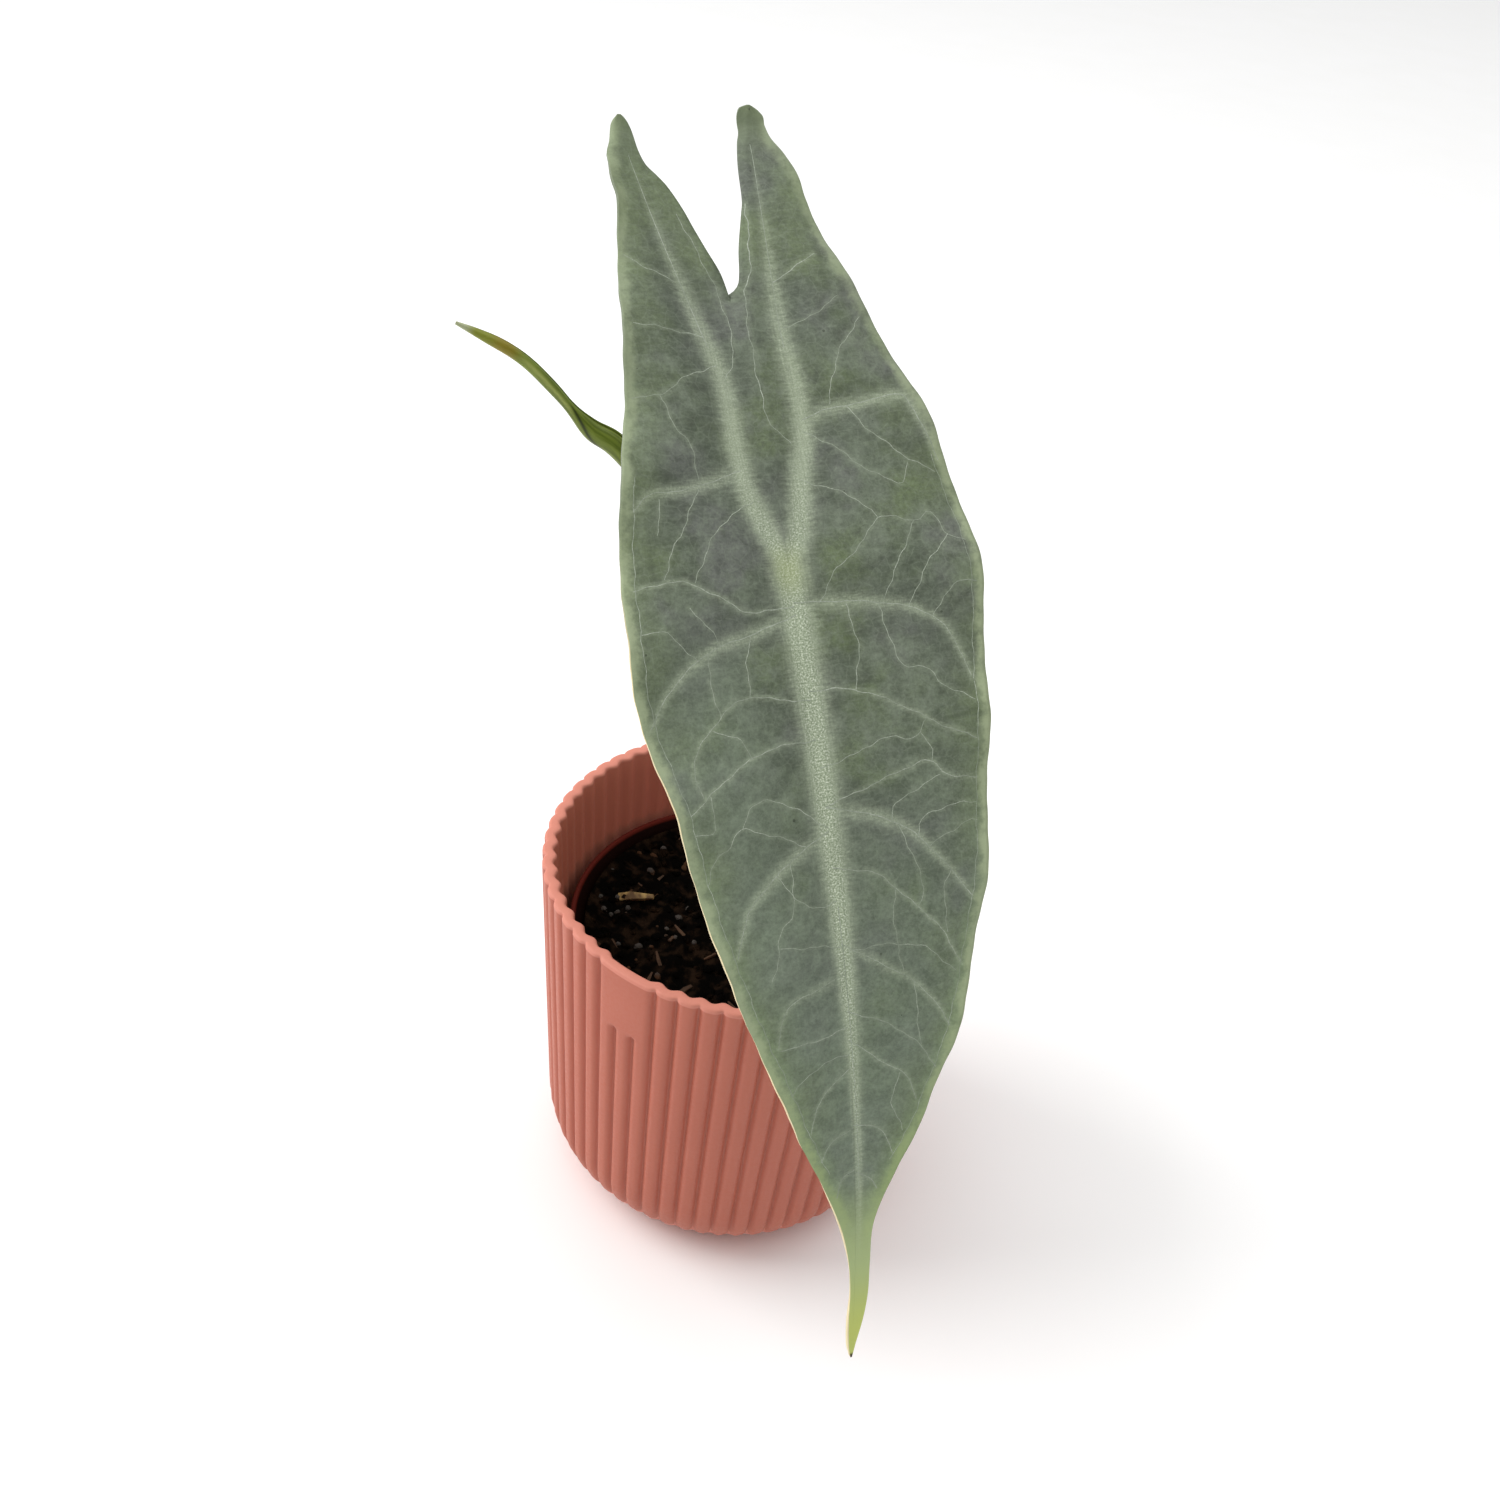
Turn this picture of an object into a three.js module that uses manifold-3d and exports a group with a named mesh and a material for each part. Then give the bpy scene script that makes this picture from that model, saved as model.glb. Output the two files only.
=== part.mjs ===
// Potted silver alocasia: one hanging arrow-shaped leaf and a rolled new leaf,
// in a nursery pot that stands in a ribbed pink cover pot.
// Millimetres, +Z up, origin at the middle of the cover pot's flat base.
// The big leaf hangs towards -Y, and turns a little towards +X.

import * as THREE from 'three';
import { mergeGeometries, mergeVertices } from 'three/addons/utils/BufferGeometryUtils.js';
import Module from 'manifold-3d';

const wasm = await Module();
wasm.setup();

// Driving dimensions

const FIT_GAP = 0.3;

// cover pot
const POT_RADIUS = 45;
const POT_HEIGHT = 84;
const POT_WALL = 2.4;
const POT_FLOOR = 3;
const POT_TAPER = THREE.MathUtils.degToRad(3.2);
const POT_CORNER = 18;
const RIM_CHAMFER = 0.6;
const RIB_COUNT = 62;
const RIB_DEPTH = 0.85;
const POINTS_PER_RIB = 4;
const POT_CORNER_STEPS = 3;
const RIB_PITCH = (2 * Math.PI) / RIB_COUNT;
const FIRST_GROOVE = THREE.MathUtils.degToRad(190.3);
const PANEL_GROOVES = [8, 9];
const PANEL_BOTTOM = 67.5;

// nursery pot inside it
const NURSERY_RIM_Z = 66;
const NURSERY_RADIUS = 38.6;
const NURSERY_BASE_RADIUS = 24.5;
const NURSERY_BASE_Z = POT_FLOOR + FIT_GAP;
const NURSERY_WALL = 0.9;
const NURSERY_BEAD = 2.2;
const NURSERY_ROLL = 1.4;
const NURSERY_SIDES = 48;
const DRAIN_HOLES = 6;
const DRAIN_RADIUS = 2.6;
const DRAIN_CIRCLE = 15;

// potting soil
const SOIL_TOP_Z = 62.6;
const SOIL_LUMPS = 1.3;
const BARK_CHIPS = 14;
const BARK_THICKNESS = 1.1;
// place, length, width and direction of the one long chip that shows
const LONG_CHIP = [-25.7, 3.5, 9.4, 1.7, 0.2];
const PERLITE_GRAINS = 20;
// chips and grains lie between these distances from the rootstock, inside a circle round the pot's axis
const SCATTER_FROM = 11;
const SCATTER_TO = 32;
const SCATTER_RADIUS = 33;

// rootstock, where both leaf stalks grow from
const CROWN_Z = 64.4;
const CROWN_RADIUS = 5.4;
const CROWN_DEPTH = 24;
const CROWN_X = -3;
const CROWN_Y = 1;
const CROWN_RINGS = 5;
const ROOT_COUNT = 5;
const ROOT_REACH = 15;
const ROOT_DROP = 22;
const ROOT_RADIUS = 0.8;

// big leaf: its stalk meets the blade at the navel, and the blade is an arch
const NAVEL = new THREE.Vector3(-3.3, -45, 178.8);
const LEAF_HEADING = THREE.MathUtils.degToRad(27);
const SLOPE_AT_NAVEL = THREE.MathUtils.degToRad(45);
const ARCH_OF_LOBES = THREE.MathUtils.degToRad(0.13);
const ARCH_OF_BLADE = THREE.MathUtils.degToRad(0.245);
const LEFT_LOBE_END = -73.8;
const RIGHT_LOBE_END = -75.5;
const SINUS = -43.6;
const LEAF_TIP = 128.6;
const BLADE_THICKNESS = 0.75;
const MIDRIB_HEIGHT = 2.1;
const MIDRIB_WIDTH = 1.3;
const LOBE_RIB_HEIGHT = 1.4;
const LOBE_RIB_WIDTH = 1;
const LATERAL_HEIGHT = 0.8;
// the two sides rise from a soft fold at the midrib, and droop again towards the edge
const FOLD_RISE = 0.13;
const FOLD_SOFTNESS = 3;
const FOLD_DROOP = 0.0009;
// how far a row of the blade sweeps towards the tip, and in the lobes away from it
const BLADE_SWEEP = 12;
const LOBE_SWEEP = -4;
const RIB_FLANK = 1.3;
const ROWS_PER_RIB = 5;
const INNER_COLUMNS = 2;
const OUTER_COLUMNS = [0.1, 0.25, 0.42, 0.6, 0.78, 0.92, 1];
const EDGE_WAVE = 0.8;
const EDGE_WAVE_LENGTH = 23;
const QUILTING = 0.42;

// stations along the blade, from the navel, where a side rib leaves the midrib or the lobe's rib
const LEFT_RIBS = [-56, -43, -30, -15, -4, 6.5, 22, 40, 60.5, 76, 89, 102];
const RIGHT_RIBS = [-57, -44.5, -35, -22.5, -9, 3.5, 18.5, 34.5, 56.5, 71.5, 84.5, 98];
// the rib that starts beside the sinus, counted from the lobes' end
const SINUS_RIB = 1;

// outlines in the blade's own plane: distance along from the navel, then distance from the midrib
const LEFT_MARGIN = [
  [-73.8, 12.2], [-71.5, 13.2], [-66, 14.6], [-57, 15], [-47, 17], [-35, 19], [-26, 20.5], [-15, 23.6],
  [-4, 25.7], [7, 27], [15, 27.3], [23, 26.3], [32, 24.2], [43, 22.2], [54, 19.9], [69, 15], [84.5, 9.5],
  [96, 4.7], [103, 2.3], [109, 1.1], [115, 0.7], [121, 0.8], [126, 0.6], [128.6, 0.35],
];
const RIGHT_MARGIN = [
  [-75.5, 12.1], [-72, 13], [-66, 14.2], [-59, 16.2], [-46, 19], [-35.6, 22.5], [-25, 26.1], [-13, 28.7],
  [-1, 30.3], [8, 30.2], [22, 28], [34, 26.6], [44, 25], [58, 22.1], [71, 18], [85, 12.3], [94, 6.6],
  [102.5, 3.3], [110, 2.6], [116, 2.3], [121.5, 1.6], [126, 0.7], [128.6, 0.35],
];
const LEFT_SINUS_EDGE = [[-73.8, 10.4], [-68, 9], [-58, 4.2], [-48, 0.7], [-43.6, 0]];
const RIGHT_SINUS_EDGE = [[-75.5, 10.3], [-68, 7.4], [-58, 5.4], [-48, 2.7], [-45.2, 1.6], [-43.6, 0]];
const LEFT_LOBE_RIB = [
  [-73.8, 11.3], [-62, 10.2], [-53, 8.9], [-46, 7.2], [-37, 5.8], [-29, 4.7], [-18, 4.4], [-10, 3.4],
  [-3, 1.9], [4, 1.6],
];
const RIGHT_LOBE_RIB = [
  [-75.5, 11.2], [-66, 9.4], [-58, 8.6], [-44, 7.5], [-36, 6.9], [-23, 6.7], [-13, 4.5], [-6, 2.9],
  [-1, 1.8], [4, 1.6],
];

// new leaf: route of its stalk and of its rolled blade, from the rootstock to the tip
const NEW_STALK_ROUTE = [[-4.6, 3.6, 67.5], [-5.2, 4.2, 80], [-6.2, 4.4, 95], [-8.6, 4.2, 110]];
const NEW_BLADE_ROUTE = [
  [-8.7, 4.2, 110.6], [-12.6, 3, 128], [-18, 1, 146], [-25, -3, 162.5], [-33.7, -7, 175.4],
  [-39.1, -8.4, 179.4], [-45, -10, 186.1], [-49, -11, 190.2], [-52.5, -12, 192.8], [-56.8, -13, 195],
  [-60.1, -14, 196.6],
];
const NEW_STALK_RADIUS = 1.4;
const NEW_STALK_FOOT_RADIUS = 1.7;
const ROLL_TURN = 2.4;
// distance back from the tip, then the roll's width
const NEW_BLADE_WIDTHS = [
  [0, 0.7], [4, 1], [9, 1.5], [15, 1.6], [20, 2], [24, 1.7], [29, 2.5], [34, 3.1], [42, 3.3], [58, 3.9],
  [80, 3.8], [96, 3.1], [106, 2.8],
];

// big leaf's stalk, from the rootstock to just under the navel
const STALK_ROUTE = [
  [-3, 0.8, 64.8], [-3, 0.7, 69], [-3.3, -2, 85], [-4.6, -9, 112], [-6.4, -22, 142], [-6.8, -35, 163],
];
// share of the way up, then the stalk's radius: its foot is a sheath round the new leaf's stalk
const STALK_RADII = [[0, 4.9], [0.06, 4.5], [0.14, 3.5], [0.3, 2.8], [0.65, 2.1], [1, 1.9]];
// the last stretch runs straight into the blade's underside
const STALK_NECK = 6;

// Helpers

const mix = THREE.MathUtils.lerp;
const smoothStep = THREE.MathUtils.smoothstep;

function seededRandom(seed) {
  let state = seed;
  return () => {
    state = (state * 1664525 + 1013904223) % 4294967296;
    return state / 4294967296;
  };
}

// value of a smooth curve through [place, value] pairs at a given place
function valueAt(pairs, place) {
  const last = pairs.length - 1;
  if (place <= pairs[0][0]) return pairs[0][1];
  if (place >= pairs[last][0]) return pairs[last][1];
  let i = 0;
  while (pairs[i + 1][0] < place) i += 1;
  const slope = (a, b) => (pairs[b][1] - pairs[a][1]) / (pairs[b][0] - pairs[a][0]);
  const slopeIn = i > 0 ? slope(i - 1, i + 1) : slope(i, i + 1);
  const slopeOut = i + 1 < last ? slope(i, i + 2) : slope(i, i + 1);
  const span = pairs[i + 1][0] - pairs[i][0];
  const t = (place - pairs[i][0]) / span;
  const blend = t * t * (3 - 2 * t);
  const bend = span * t * (1 - t) * (slopeIn * (1 - t) - slopeOut * t);
  return pairs[i][1] * (1 - blend) + pairs[i + 1][1] * blend + bend;
}

function moveVertices(geometry, move) {
  const position = geometry.attributes.position;
  const v = new THREE.Vector3();
  for (let i = 0; i < position.count; i += 1) {
    v.fromBufferAttribute(position, i);
    move(v);
    position.setXYZ(i, v.x, v.y, v.z);
  }
  return geometry;
}

function toSolid(geometry) {
  geometry.deleteAttribute('normal');
  geometry.deleteAttribute('uv');
  const welded = mergeVertices(geometry, 1e-4);
  const corners = [];
  for (let i = 0; i < welded.index.count; i += 3) {
    const [a, b, c] = welded.index.array.slice(i, i + 3);
    if (a !== b && b !== c && c !== a) corners.push(a, b, c);
  }
  return new wasm.Manifold(new wasm.Mesh({
    numProp: 3,
    vertProperties: Float32Array.from(welded.attributes.position.array),
    triVerts: Uint32Array.from(corners),
  }));
}

function toGeometry(solid) {
  const mesh = solid.getMesh();
  const geometry = new THREE.BufferGeometry();
  geometry.setAttribute('position', new THREE.BufferAttribute(mesh.vertProperties, 3));
  geometry.setIndex(new THREE.BufferAttribute(mesh.triVerts, 1));
  geometry.computeVertexNormals();
  return geometry;
}

// a lathe profile of [radius, height] pairs turned round the vertical axis
function turned(profile, sides, startAngle = 0) {
  const points = profile.map(([radius, height]) => new THREE.Vector2(radius, height));
  const lathe = new THREE.LatheGeometry(points, sides, startAngle + Math.PI / 2, 2 * Math.PI);
  return lathe.rotateX(Math.PI / 2);
}

// a stalk along a smooth route; radiusAt and twistAt are functions of the share of the route
function stalk(route, sides, steps, radiusAt, options = {}) {
  const { twistAt = () => 0, endDirection = null } = options;
  const curve = new THREE.CatmullRomCurve3(route.map((p) => new THREE.Vector3(...p)));
  const frames = curve.computeFrenetFrames(steps, false);
  return moveVertices(new THREE.CylinderGeometry(1, 1, 1, sides, steps), (v) => {
    const share = v.y + 0.5;
    const step = Math.round(share * steps);
    const angle = Math.atan2(v.z, v.x);
    const radius = Math.hypot(v.x, v.z) * radiusAt(share, angle);
    const across = frames.normals[step].clone();
    const beside = frames.binormals[step].clone();
    if (endDirection && step === steps) {
      across.projectOnPlane(endDirection).normalize();
      beside.crossVectors(endDirection, across).normalize();
    }
    const turn = angle + twistAt(share);
    v.copy(curve.getPointAt(share));
    v.addScaledVector(across, radius * Math.cos(turn));
    v.addScaledVector(beside, -radius * Math.sin(turn));
  });
}

function subpart(name, solid, color, roughness) {
  const material = new THREE.MeshStandardMaterial({ color, roughness, metalness: 0 });
  const mesh = new THREE.Mesh(toGeometry(solid), material);
  mesh.name = name;
  return mesh;
}

// Cover pot: a tapered cup with a round corner, its wall folded into ribs of even thickness

function potRadiusAt(z) {
  return POT_RADIUS - (POT_HEIGHT - z) * Math.tan(POT_TAPER);
}

// how far the wall steps inwards: all of RIB_DEPTH in a groove, nothing on a crest or the bare panel
function ribShift(angle, z) {
  const turns = (angle - FIRST_GROOVE) / RIB_PITCH;
  const nearest = Math.round(turns);
  const groove = ((nearest % RIB_COUNT) + RIB_COUNT) % RIB_COUNT;
  if (PANEL_GROOVES.includes(groove) && z > PANEL_BOTTOM) return 0;
  return RIB_DEPTH * (1 - Math.sin(Math.abs(turns - nearest) * Math.PI));
}

function coverPot() {
  const wallFoot = potRadiusAt(POT_CORNER);
  const baseRadius = wallFoot - POT_CORNER;
  const profile = [[0, 0]];
  for (let i = 0; i <= POT_CORNER_STEPS; i += 1) {
    const turn = (i / POT_CORNER_STEPS) * (Math.PI / 2);
    profile.push([baseRadius + POT_CORNER * Math.sin(turn), POT_CORNER * (1 - Math.cos(turn))]);
  }
  const panelFade = 0.6;
  profile.push(
    [potRadiusAt(PANEL_BOTTOM - panelFade), PANEL_BOTTOM - panelFade],
    [potRadiusAt(PANEL_BOTTOM + panelFade), PANEL_BOTTOM + panelFade],
    [POT_RADIUS, POT_HEIGHT - RIM_CHAMFER],
    [POT_RADIUS - RIM_CHAMFER, POT_HEIGHT],
    [POT_RADIUS - POT_WALL, POT_HEIGHT],
    [potRadiusAt(POT_CORNER) - POT_WALL, POT_CORNER],
    [baseRadius + 0.72 * (POT_CORNER - POT_WALL), POT_FLOOR + 0.3 * (POT_CORNER - POT_FLOOR)],
    [NURSERY_BASE_RADIUS + 2, POT_FLOOR],
    [0, POT_FLOOR],
  );
  const cup = turned(profile, RIB_COUNT * POINTS_PER_RIB, FIRST_GROOVE);
  return toSolid(moveVertices(cup, (v) => {
    const radius = Math.hypot(v.x, v.y);
    if (radius < baseRadius + 0.01) return;
    const share = 1 - ribShift(Math.atan2(v.y, v.x), v.z) / radius;
    v.set(v.x * share, v.y * share, v.z);
  }));
}

// Nursery pot: a thin smooth pot with a rolled rim and drain holes, standing in the cover pot

function nurseryRadiusAt(z) {
  const share = (z - NURSERY_BASE_Z) / (NURSERY_RIM_Z - NURSERY_BASE_Z);
  return mix(NURSERY_BASE_RADIUS, NURSERY_RADIUS - NURSERY_ROLL, share);
}

function nurseryPot() {
  const floor = NURSERY_BASE_Z + NURSERY_WALL;
  const rollFoot = NURSERY_RIM_Z - NURSERY_BEAD;
  const round = 0.5;
  let pot = toSolid(turned([
    [0, NURSERY_BASE_Z],
    [NURSERY_BASE_RADIUS, NURSERY_BASE_Z],
    [nurseryRadiusAt(rollFoot), rollFoot],
    [NURSERY_RADIUS - round, rollFoot],
    [NURSERY_RADIUS, rollFoot + round],
    [NURSERY_RADIUS, NURSERY_RIM_Z - round],
    [NURSERY_RADIUS - round, NURSERY_RIM_Z],
    [nurseryRadiusAt(NURSERY_RIM_Z) - NURSERY_WALL, NURSERY_RIM_Z],
    [nurseryRadiusAt(floor) - NURSERY_WALL, floor],
    [0, floor],
  ], NURSERY_SIDES));
  for (let i = 0; i < DRAIN_HOLES; i += 1) {
    const angle = (i / DRAIN_HOLES) * 2 * Math.PI;
    const drain = new THREE.CylinderGeometry(DRAIN_RADIUS, DRAIN_RADIUS, 4 * NURSERY_WALL, 10);
    drain.rotateX(Math.PI / 2);
    drain.translate(DRAIN_CIRCLE * Math.cos(angle), DRAIN_CIRCLE * Math.sin(angle), floor);
    pot = pot.subtract(toSolid(drain));
  }
  return pot;
}

// Rootstock: a short ringed stem below the soil's surface, with roots, grown by a clearance for its hole

function rootstock(clearance) {
  const top = CROWN_Z + (clearance > 0 ? 4 * SOIL_LUMPS : 0);
  const foot = CROWN_Z - CROWN_DEPTH - clearance;
  const profile = [[0, foot], [CROWN_RADIUS * 0.45 + clearance, foot]];
  for (let ring = 1; ring <= CROWN_RINGS; ring += 1) {
    const share = ring / (CROWN_RINGS + 1);
    const swell = CROWN_RADIUS * (0.55 + 0.45 * Math.sin(share * Math.PI * 0.6)) + 0.35 * (ring % 2);
    profile.push([swell + clearance, foot + share * CROWN_DEPTH]);
  }
  profile.push([CROWN_RADIUS + clearance, CROWN_Z], [0, top]);
  if (clearance > 0) profile.splice(profile.length - 1, 0, [CROWN_RADIUS + clearance, top]);
  let body = toSolid(turned(profile, 12).translate(CROWN_X, CROWN_Y, 0));
  const random = seededRandom(11);
  for (let i = 0; i < ROOT_COUNT; i += 1) {
    const angle = ((i + 0.4 * random()) / ROOT_COUNT) * 2 * Math.PI;
    const reach = ROOT_REACH * (0.8 + 0.4 * random());
    const drop = ROOT_DROP * (0.8 + 0.4 * random());
    const at = (out, down) => [
      CROWN_X + out * Math.cos(angle + 0.03 * out),
      CROWN_Y + out * Math.sin(angle + 0.03 * out),
      CROWN_Z - CROWN_DEPTH + 4 - down,
    ];
    const route = [at(1.5, 0), at(0.45 * reach, 0.2 * drop), at(0.8 * reach, 0.55 * drop)];
    route.push(at(reach, drop + clearance));
    const root = stalk(route, 5, 6, (share) => ROOT_RADIUS * (1 - 0.55 * share) + clearance);
    body = body.add(toSolid(root));
  }
  return body;
}

// Potting soil: fills the nursery pot, its top lumpy, with bark chips and perlite grains grown into it

function soilHeight(x, y) {
  const swell = Math.sin(0.21 * x + 0.8) * Math.sin(0.17 * y - 0.5);
  const clods = Math.sin(0.62 * x + 0.35 * y) * Math.cos(0.55 * y - 0.28 * x);
  const crumbs = Math.sin(1.3 * x - 0.9 * y + 1) * Math.sin(1.1 * y + 0.5 * x);
  return SOIL_TOP_Z + SOIL_LUMPS * (0.5 * swell + 0.4 * clods + 0.15 * crumbs);
}

function pottingSoil() {
  const foot = NURSERY_BASE_Z + NURSERY_WALL + FIT_GAP;
  const radiusAt = (z) => nurseryRadiusAt(z) - NURSERY_WALL - FIT_GAP - 0.1;
  const rings = 10;
  const profile = [[0, foot], [radiusAt(foot), foot], [radiusAt(SOIL_TOP_Z), SOIL_TOP_Z]];
  for (let ring = 1; ring <= rings; ring += 1) {
    profile.push([radiusAt(SOIL_TOP_Z) * (1 - ring / rings), SOIL_TOP_Z]);
  }
  const rim = radiusAt(SOIL_TOP_Z) - 0.01;
  let soil = toSolid(moveVertices(turned(profile, 40), (v) => {
    const radius = Math.hypot(v.x, v.y);
    if (v.z > SOIL_TOP_Z - 0.01 && radius < rim) v.z = soilHeight(v.x, v.y);
  }));
  const random = seededRandom(5);
  const chip = (x, y, length, width, angle, tilt) => {
    const bark = new THREE.BoxGeometry(length, width, BARK_THICKNESS);
    moveVertices(bark, (v) => {
      v.y *= v.x > 0 ? 0.55 : 1;
    });
    bark.rotateY(tilt).rotateZ(angle).translate(x, y, soilHeight(x, y));
    return toSolid(bark);
  };
  soil = soil.add(chip(...LONG_CHIP, 0));
  for (let i = 0; i < BARK_CHIPS + PERLITE_GRAINS; i += 1) {
    const out = mix(SCATTER_FROM, SCATTER_TO, Math.sqrt(random()));
    const angle = random() * 2 * Math.PI;
    const x = CROWN_X + out * Math.cos(angle);
    const y = CROWN_Y + out * Math.sin(angle);
    const size = random();
    const turn = random() * Math.PI;
    if (Math.hypot(x, y) > SCATTER_RADIUS) continue;
    if (i < BARK_CHIPS) {
      soil = soil.add(chip(x, y, 3 + 3.5 * size, 1.6 + size, turn, 0.3 * (size - 0.5)));
    } else {
      const grain = new THREE.IcosahedronGeometry(0.7 + 0.5 * size);
      grain.rotateZ(turn).translate(x, y, soilHeight(x, y));
      soil = soil.add(toSolid(grain));
    }
  }
  return soil.subtract(rootstock(FIT_GAP));
}

// Big leaf's blade: an arched arrowhead, folded at the midrib, waved at the edge and quilted between ribs

const HEADING = new THREE.Vector3(Math.sin(LEAF_HEADING), -Math.cos(LEAF_HEADING), 0);
const ACROSS = new THREE.Vector3(Math.cos(LEAF_HEADING), Math.sin(LEAF_HEADING), 0);

// point on the midrib's line and the upper face's direction there; lobes lie at negative stations
function bladeAxis(station) {
  const arch = station < 0 ? ARCH_OF_LOBES : ARCH_OF_BLADE;
  const slope = SLOPE_AT_NAVEL + arch * station;
  const forward = (Math.sin(slope) - Math.sin(SLOPE_AT_NAVEL)) / arch;
  const down = (Math.cos(SLOPE_AT_NAVEL) - Math.cos(slope)) / arch;
  const point = NAVEL.clone().addScaledVector(HEADING, forward);
  point.z -= down;
  const up = HEADING.clone().multiplyScalar(Math.sin(slope));
  up.z = Math.cos(slope);
  return { point, up };
}

const bump = (distance, width) => Math.exp(-((distance / width) ** 2));

// rows of the blade's grid: close rows beside each rib, even rows between
function bladeRows(lobeEnd, ribs) {
  const stops = [lobeEnd, ...ribs, LEAF_TIP];
  const rows = [];
  for (let k = 0; k + 1 < stops.length; k += 1) {
    const length = stops[k + 1] - stops[k];
    const flank = Math.min(RIB_FLANK, 0.2 * length);
    for (let i = 0; i < ROWS_PER_RIB; i += 1) {
      const even = mix(flank, length - flank, (i - 1) / (ROWS_PER_RIB - 2));
      const place = i === 0 ? 0 : even;
      rows.push({ station: stops[k] + place, phase: k + place / length, onRib: i === 0 && k > 0 });
    }
  }
  rows.push({ station: LEAF_TIP, phase: stops.length - 1, onRib: false });
  return rows;
}

const SINUS_ROW = (SINUS_RIB + 1) * ROWS_PER_RIB;

// leaves out the triangles whose three corners all lie on the seam, where the two halves grow together
function openSeam(box, onSeam) {
  const { position } = box.attributes;
  const corners = box.index.array;
  const kept = [];
  for (let i = 0; i < corners.length; i += 3) {
    const triangle = [...corners.slice(i, i + 3)];
    if (!triangle.every((c) => onSeam(position.getX(c), position.getY(c)))) kept.push(...triangle);
  }
  box.setIndex(kept);
}

function halfBlade(side) {
  const left = side < 0;
  const lobeEnd = left ? LEFT_LOBE_END : RIGHT_LOBE_END;
  const rows = bladeRows(lobeEnd, left ? LEFT_RIBS : RIGHT_RIBS);
  const middle = LEFT_RIBS.map((s, k) => (k === SINUS_RIB ? SINUS : (s + RIGHT_RIBS[k]) / 2));
  const seam = bladeRows(lobeEnd, middle);
  const margin = left ? LEFT_MARGIN : RIGHT_MARGIN;
  const sinusEdge = left ? LEFT_SINUS_EDGE : RIGHT_SINUS_EDGE;
  const lobeRib = left ? LEFT_LOBE_RIB : RIGHT_LOBE_RIB;
  const columns = INNER_COLUMNS + OUTER_COLUMNS.length;
  const rowOf = (y) => Math.round((0.5 - y) * (rows.length - 1));
  const columnOf = (x) => Math.round((side * x + 0.5) * columns);
  const box = new THREE.BoxGeometry(1, 1, 1, columns, rows.length - 1, 1);
  openSeam(box, (x, y) => columnOf(x) === 0 && rowOf(y) >= SINUS_ROW);
  return moveVertices(box, (v) => {
    const row = rowOf(v.y);
    const column = columnOf(v.x);
    const under = v.z < 0;
    const { station, phase, onRib } = rows[row];
    const inner = row < SINUS_ROW ? station : seam[row].station;
    const width = valueAt(margin, station);
    const ribOut = Math.min(valueAt(lobeRib, station), station > 0 ? 0.35 * width : Infinity);
    let out = 0;
    let along = 0;
    let spread = 0;
    if (column <= INNER_COLUMNS) {
      const share = column / INNER_COLUMNS;
      out = mix(valueAt(sinusEdge, inner), ribOut, share);
      along = mix(inner, station, share);
    } else {
      spread = OUTER_COLUMNS[column - INNER_COLUMNS - 1];
      const sweep = mix(LOBE_SWEEP, BLADE_SWEEP, smoothStep(station, -30, 10)) * Math.min(1, width / 24);
      const lobeFade = smoothStep(station, lobeEnd, lobeEnd + 12);
      const marginStation = station + sweep * lobeFade * smoothStep(LEAF_TIP - station, 0, 30);
      out = mix(ribOut, valueAt(margin, marginStation), spread);
      along = mix(station, marginStation, 0.35 * spread + 0.65 * spread ** 3);
    }
    const { point, up } = bladeAxis(along);
    const tipFade = Math.min(1, width / 12);
    const rise = FOLD_RISE * (Math.hypot(out, FOLD_SOFTNESS) - FOLD_SOFTNESS);
    const wave = spread ** 4 * Math.sin((2 * Math.PI * along) / EDGE_WAVE_LENGTH + side);
    const puff = Math.sin(Math.PI * Math.min(1, 1.05 * spread)) ** 0.8 * Math.sin(Math.PI * phase) ** 2;
    let height = rise - FOLD_DROOP * out * out + tipFade * (EDGE_WAVE * wave + QUILTING * puff);
    if (under) {
      const beyond = smoothStep(along, -12, 2);
      const slimmer = mix(1, 0.12, smoothStep(along, 5, LEAF_TIP));
      const midrib = MIDRIB_HEIGHT * beyond * slimmer * bump(out, MIDRIB_WIDTH);
      const lobeShare = (1 - smoothStep(along, -4, 4)) * mix(0.2, 1, smoothStep(along, lobeEnd, -10));
      const lobeRibBump = column > 0 ? LOBE_RIB_HEIGHT * lobeShare * bump(out - ribOut, LOBE_RIB_WIDTH) : 0;
      const lateral = onRib && column > INNER_COLUMNS ? LATERAL_HEIGHT * tipFade * (1 - 0.85 * spread) : 0;
      height -= BLADE_THICKNESS + midrib + lobeRibBump + lateral;
    }
    v.copy(point).addScaledVector(ACROSS, side * out).addScaledVector(up, height);
  });
}

function bigLeafBlade() {
  return toSolid(mergeGeometries([halfBlade(-1), halfBlade(1)]));
}

// Leaf stalks and the rolled new leaf

function newStalk(clearance) {
  const slimmer = (share) => mix(NEW_STALK_FOOT_RADIUS, NEW_STALK_RADIUS, Math.min(1, 2 * share));
  const [x, y, z] = NEW_STALK_ROUTE[0];
  const route = [[x, y, z - clearance], ...NEW_STALK_ROUTE.slice(1)];
  return toSolid(stalk(route, 12, 14, (share) => slimmer(share) + clearance));
}

function bigLeafStalk() {
  const { point, up } = bladeAxis(0);
  const seat = point.clone().addScaledVector(up, -(BLADE_THICKNESS + MIDRIB_HEIGHT + FIT_GAP));
  const below = seat.clone().addScaledVector(up, -STALK_NECK);
  const route = [...STALK_ROUTE, below.toArray(), seat.toArray()];
  const body = toSolid(stalk(route, 14, 26, (share) => valueAt(STALK_RADII, share), { endDirection: up }));
  return body.subtract(newStalk(FIT_GAP));
}

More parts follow.
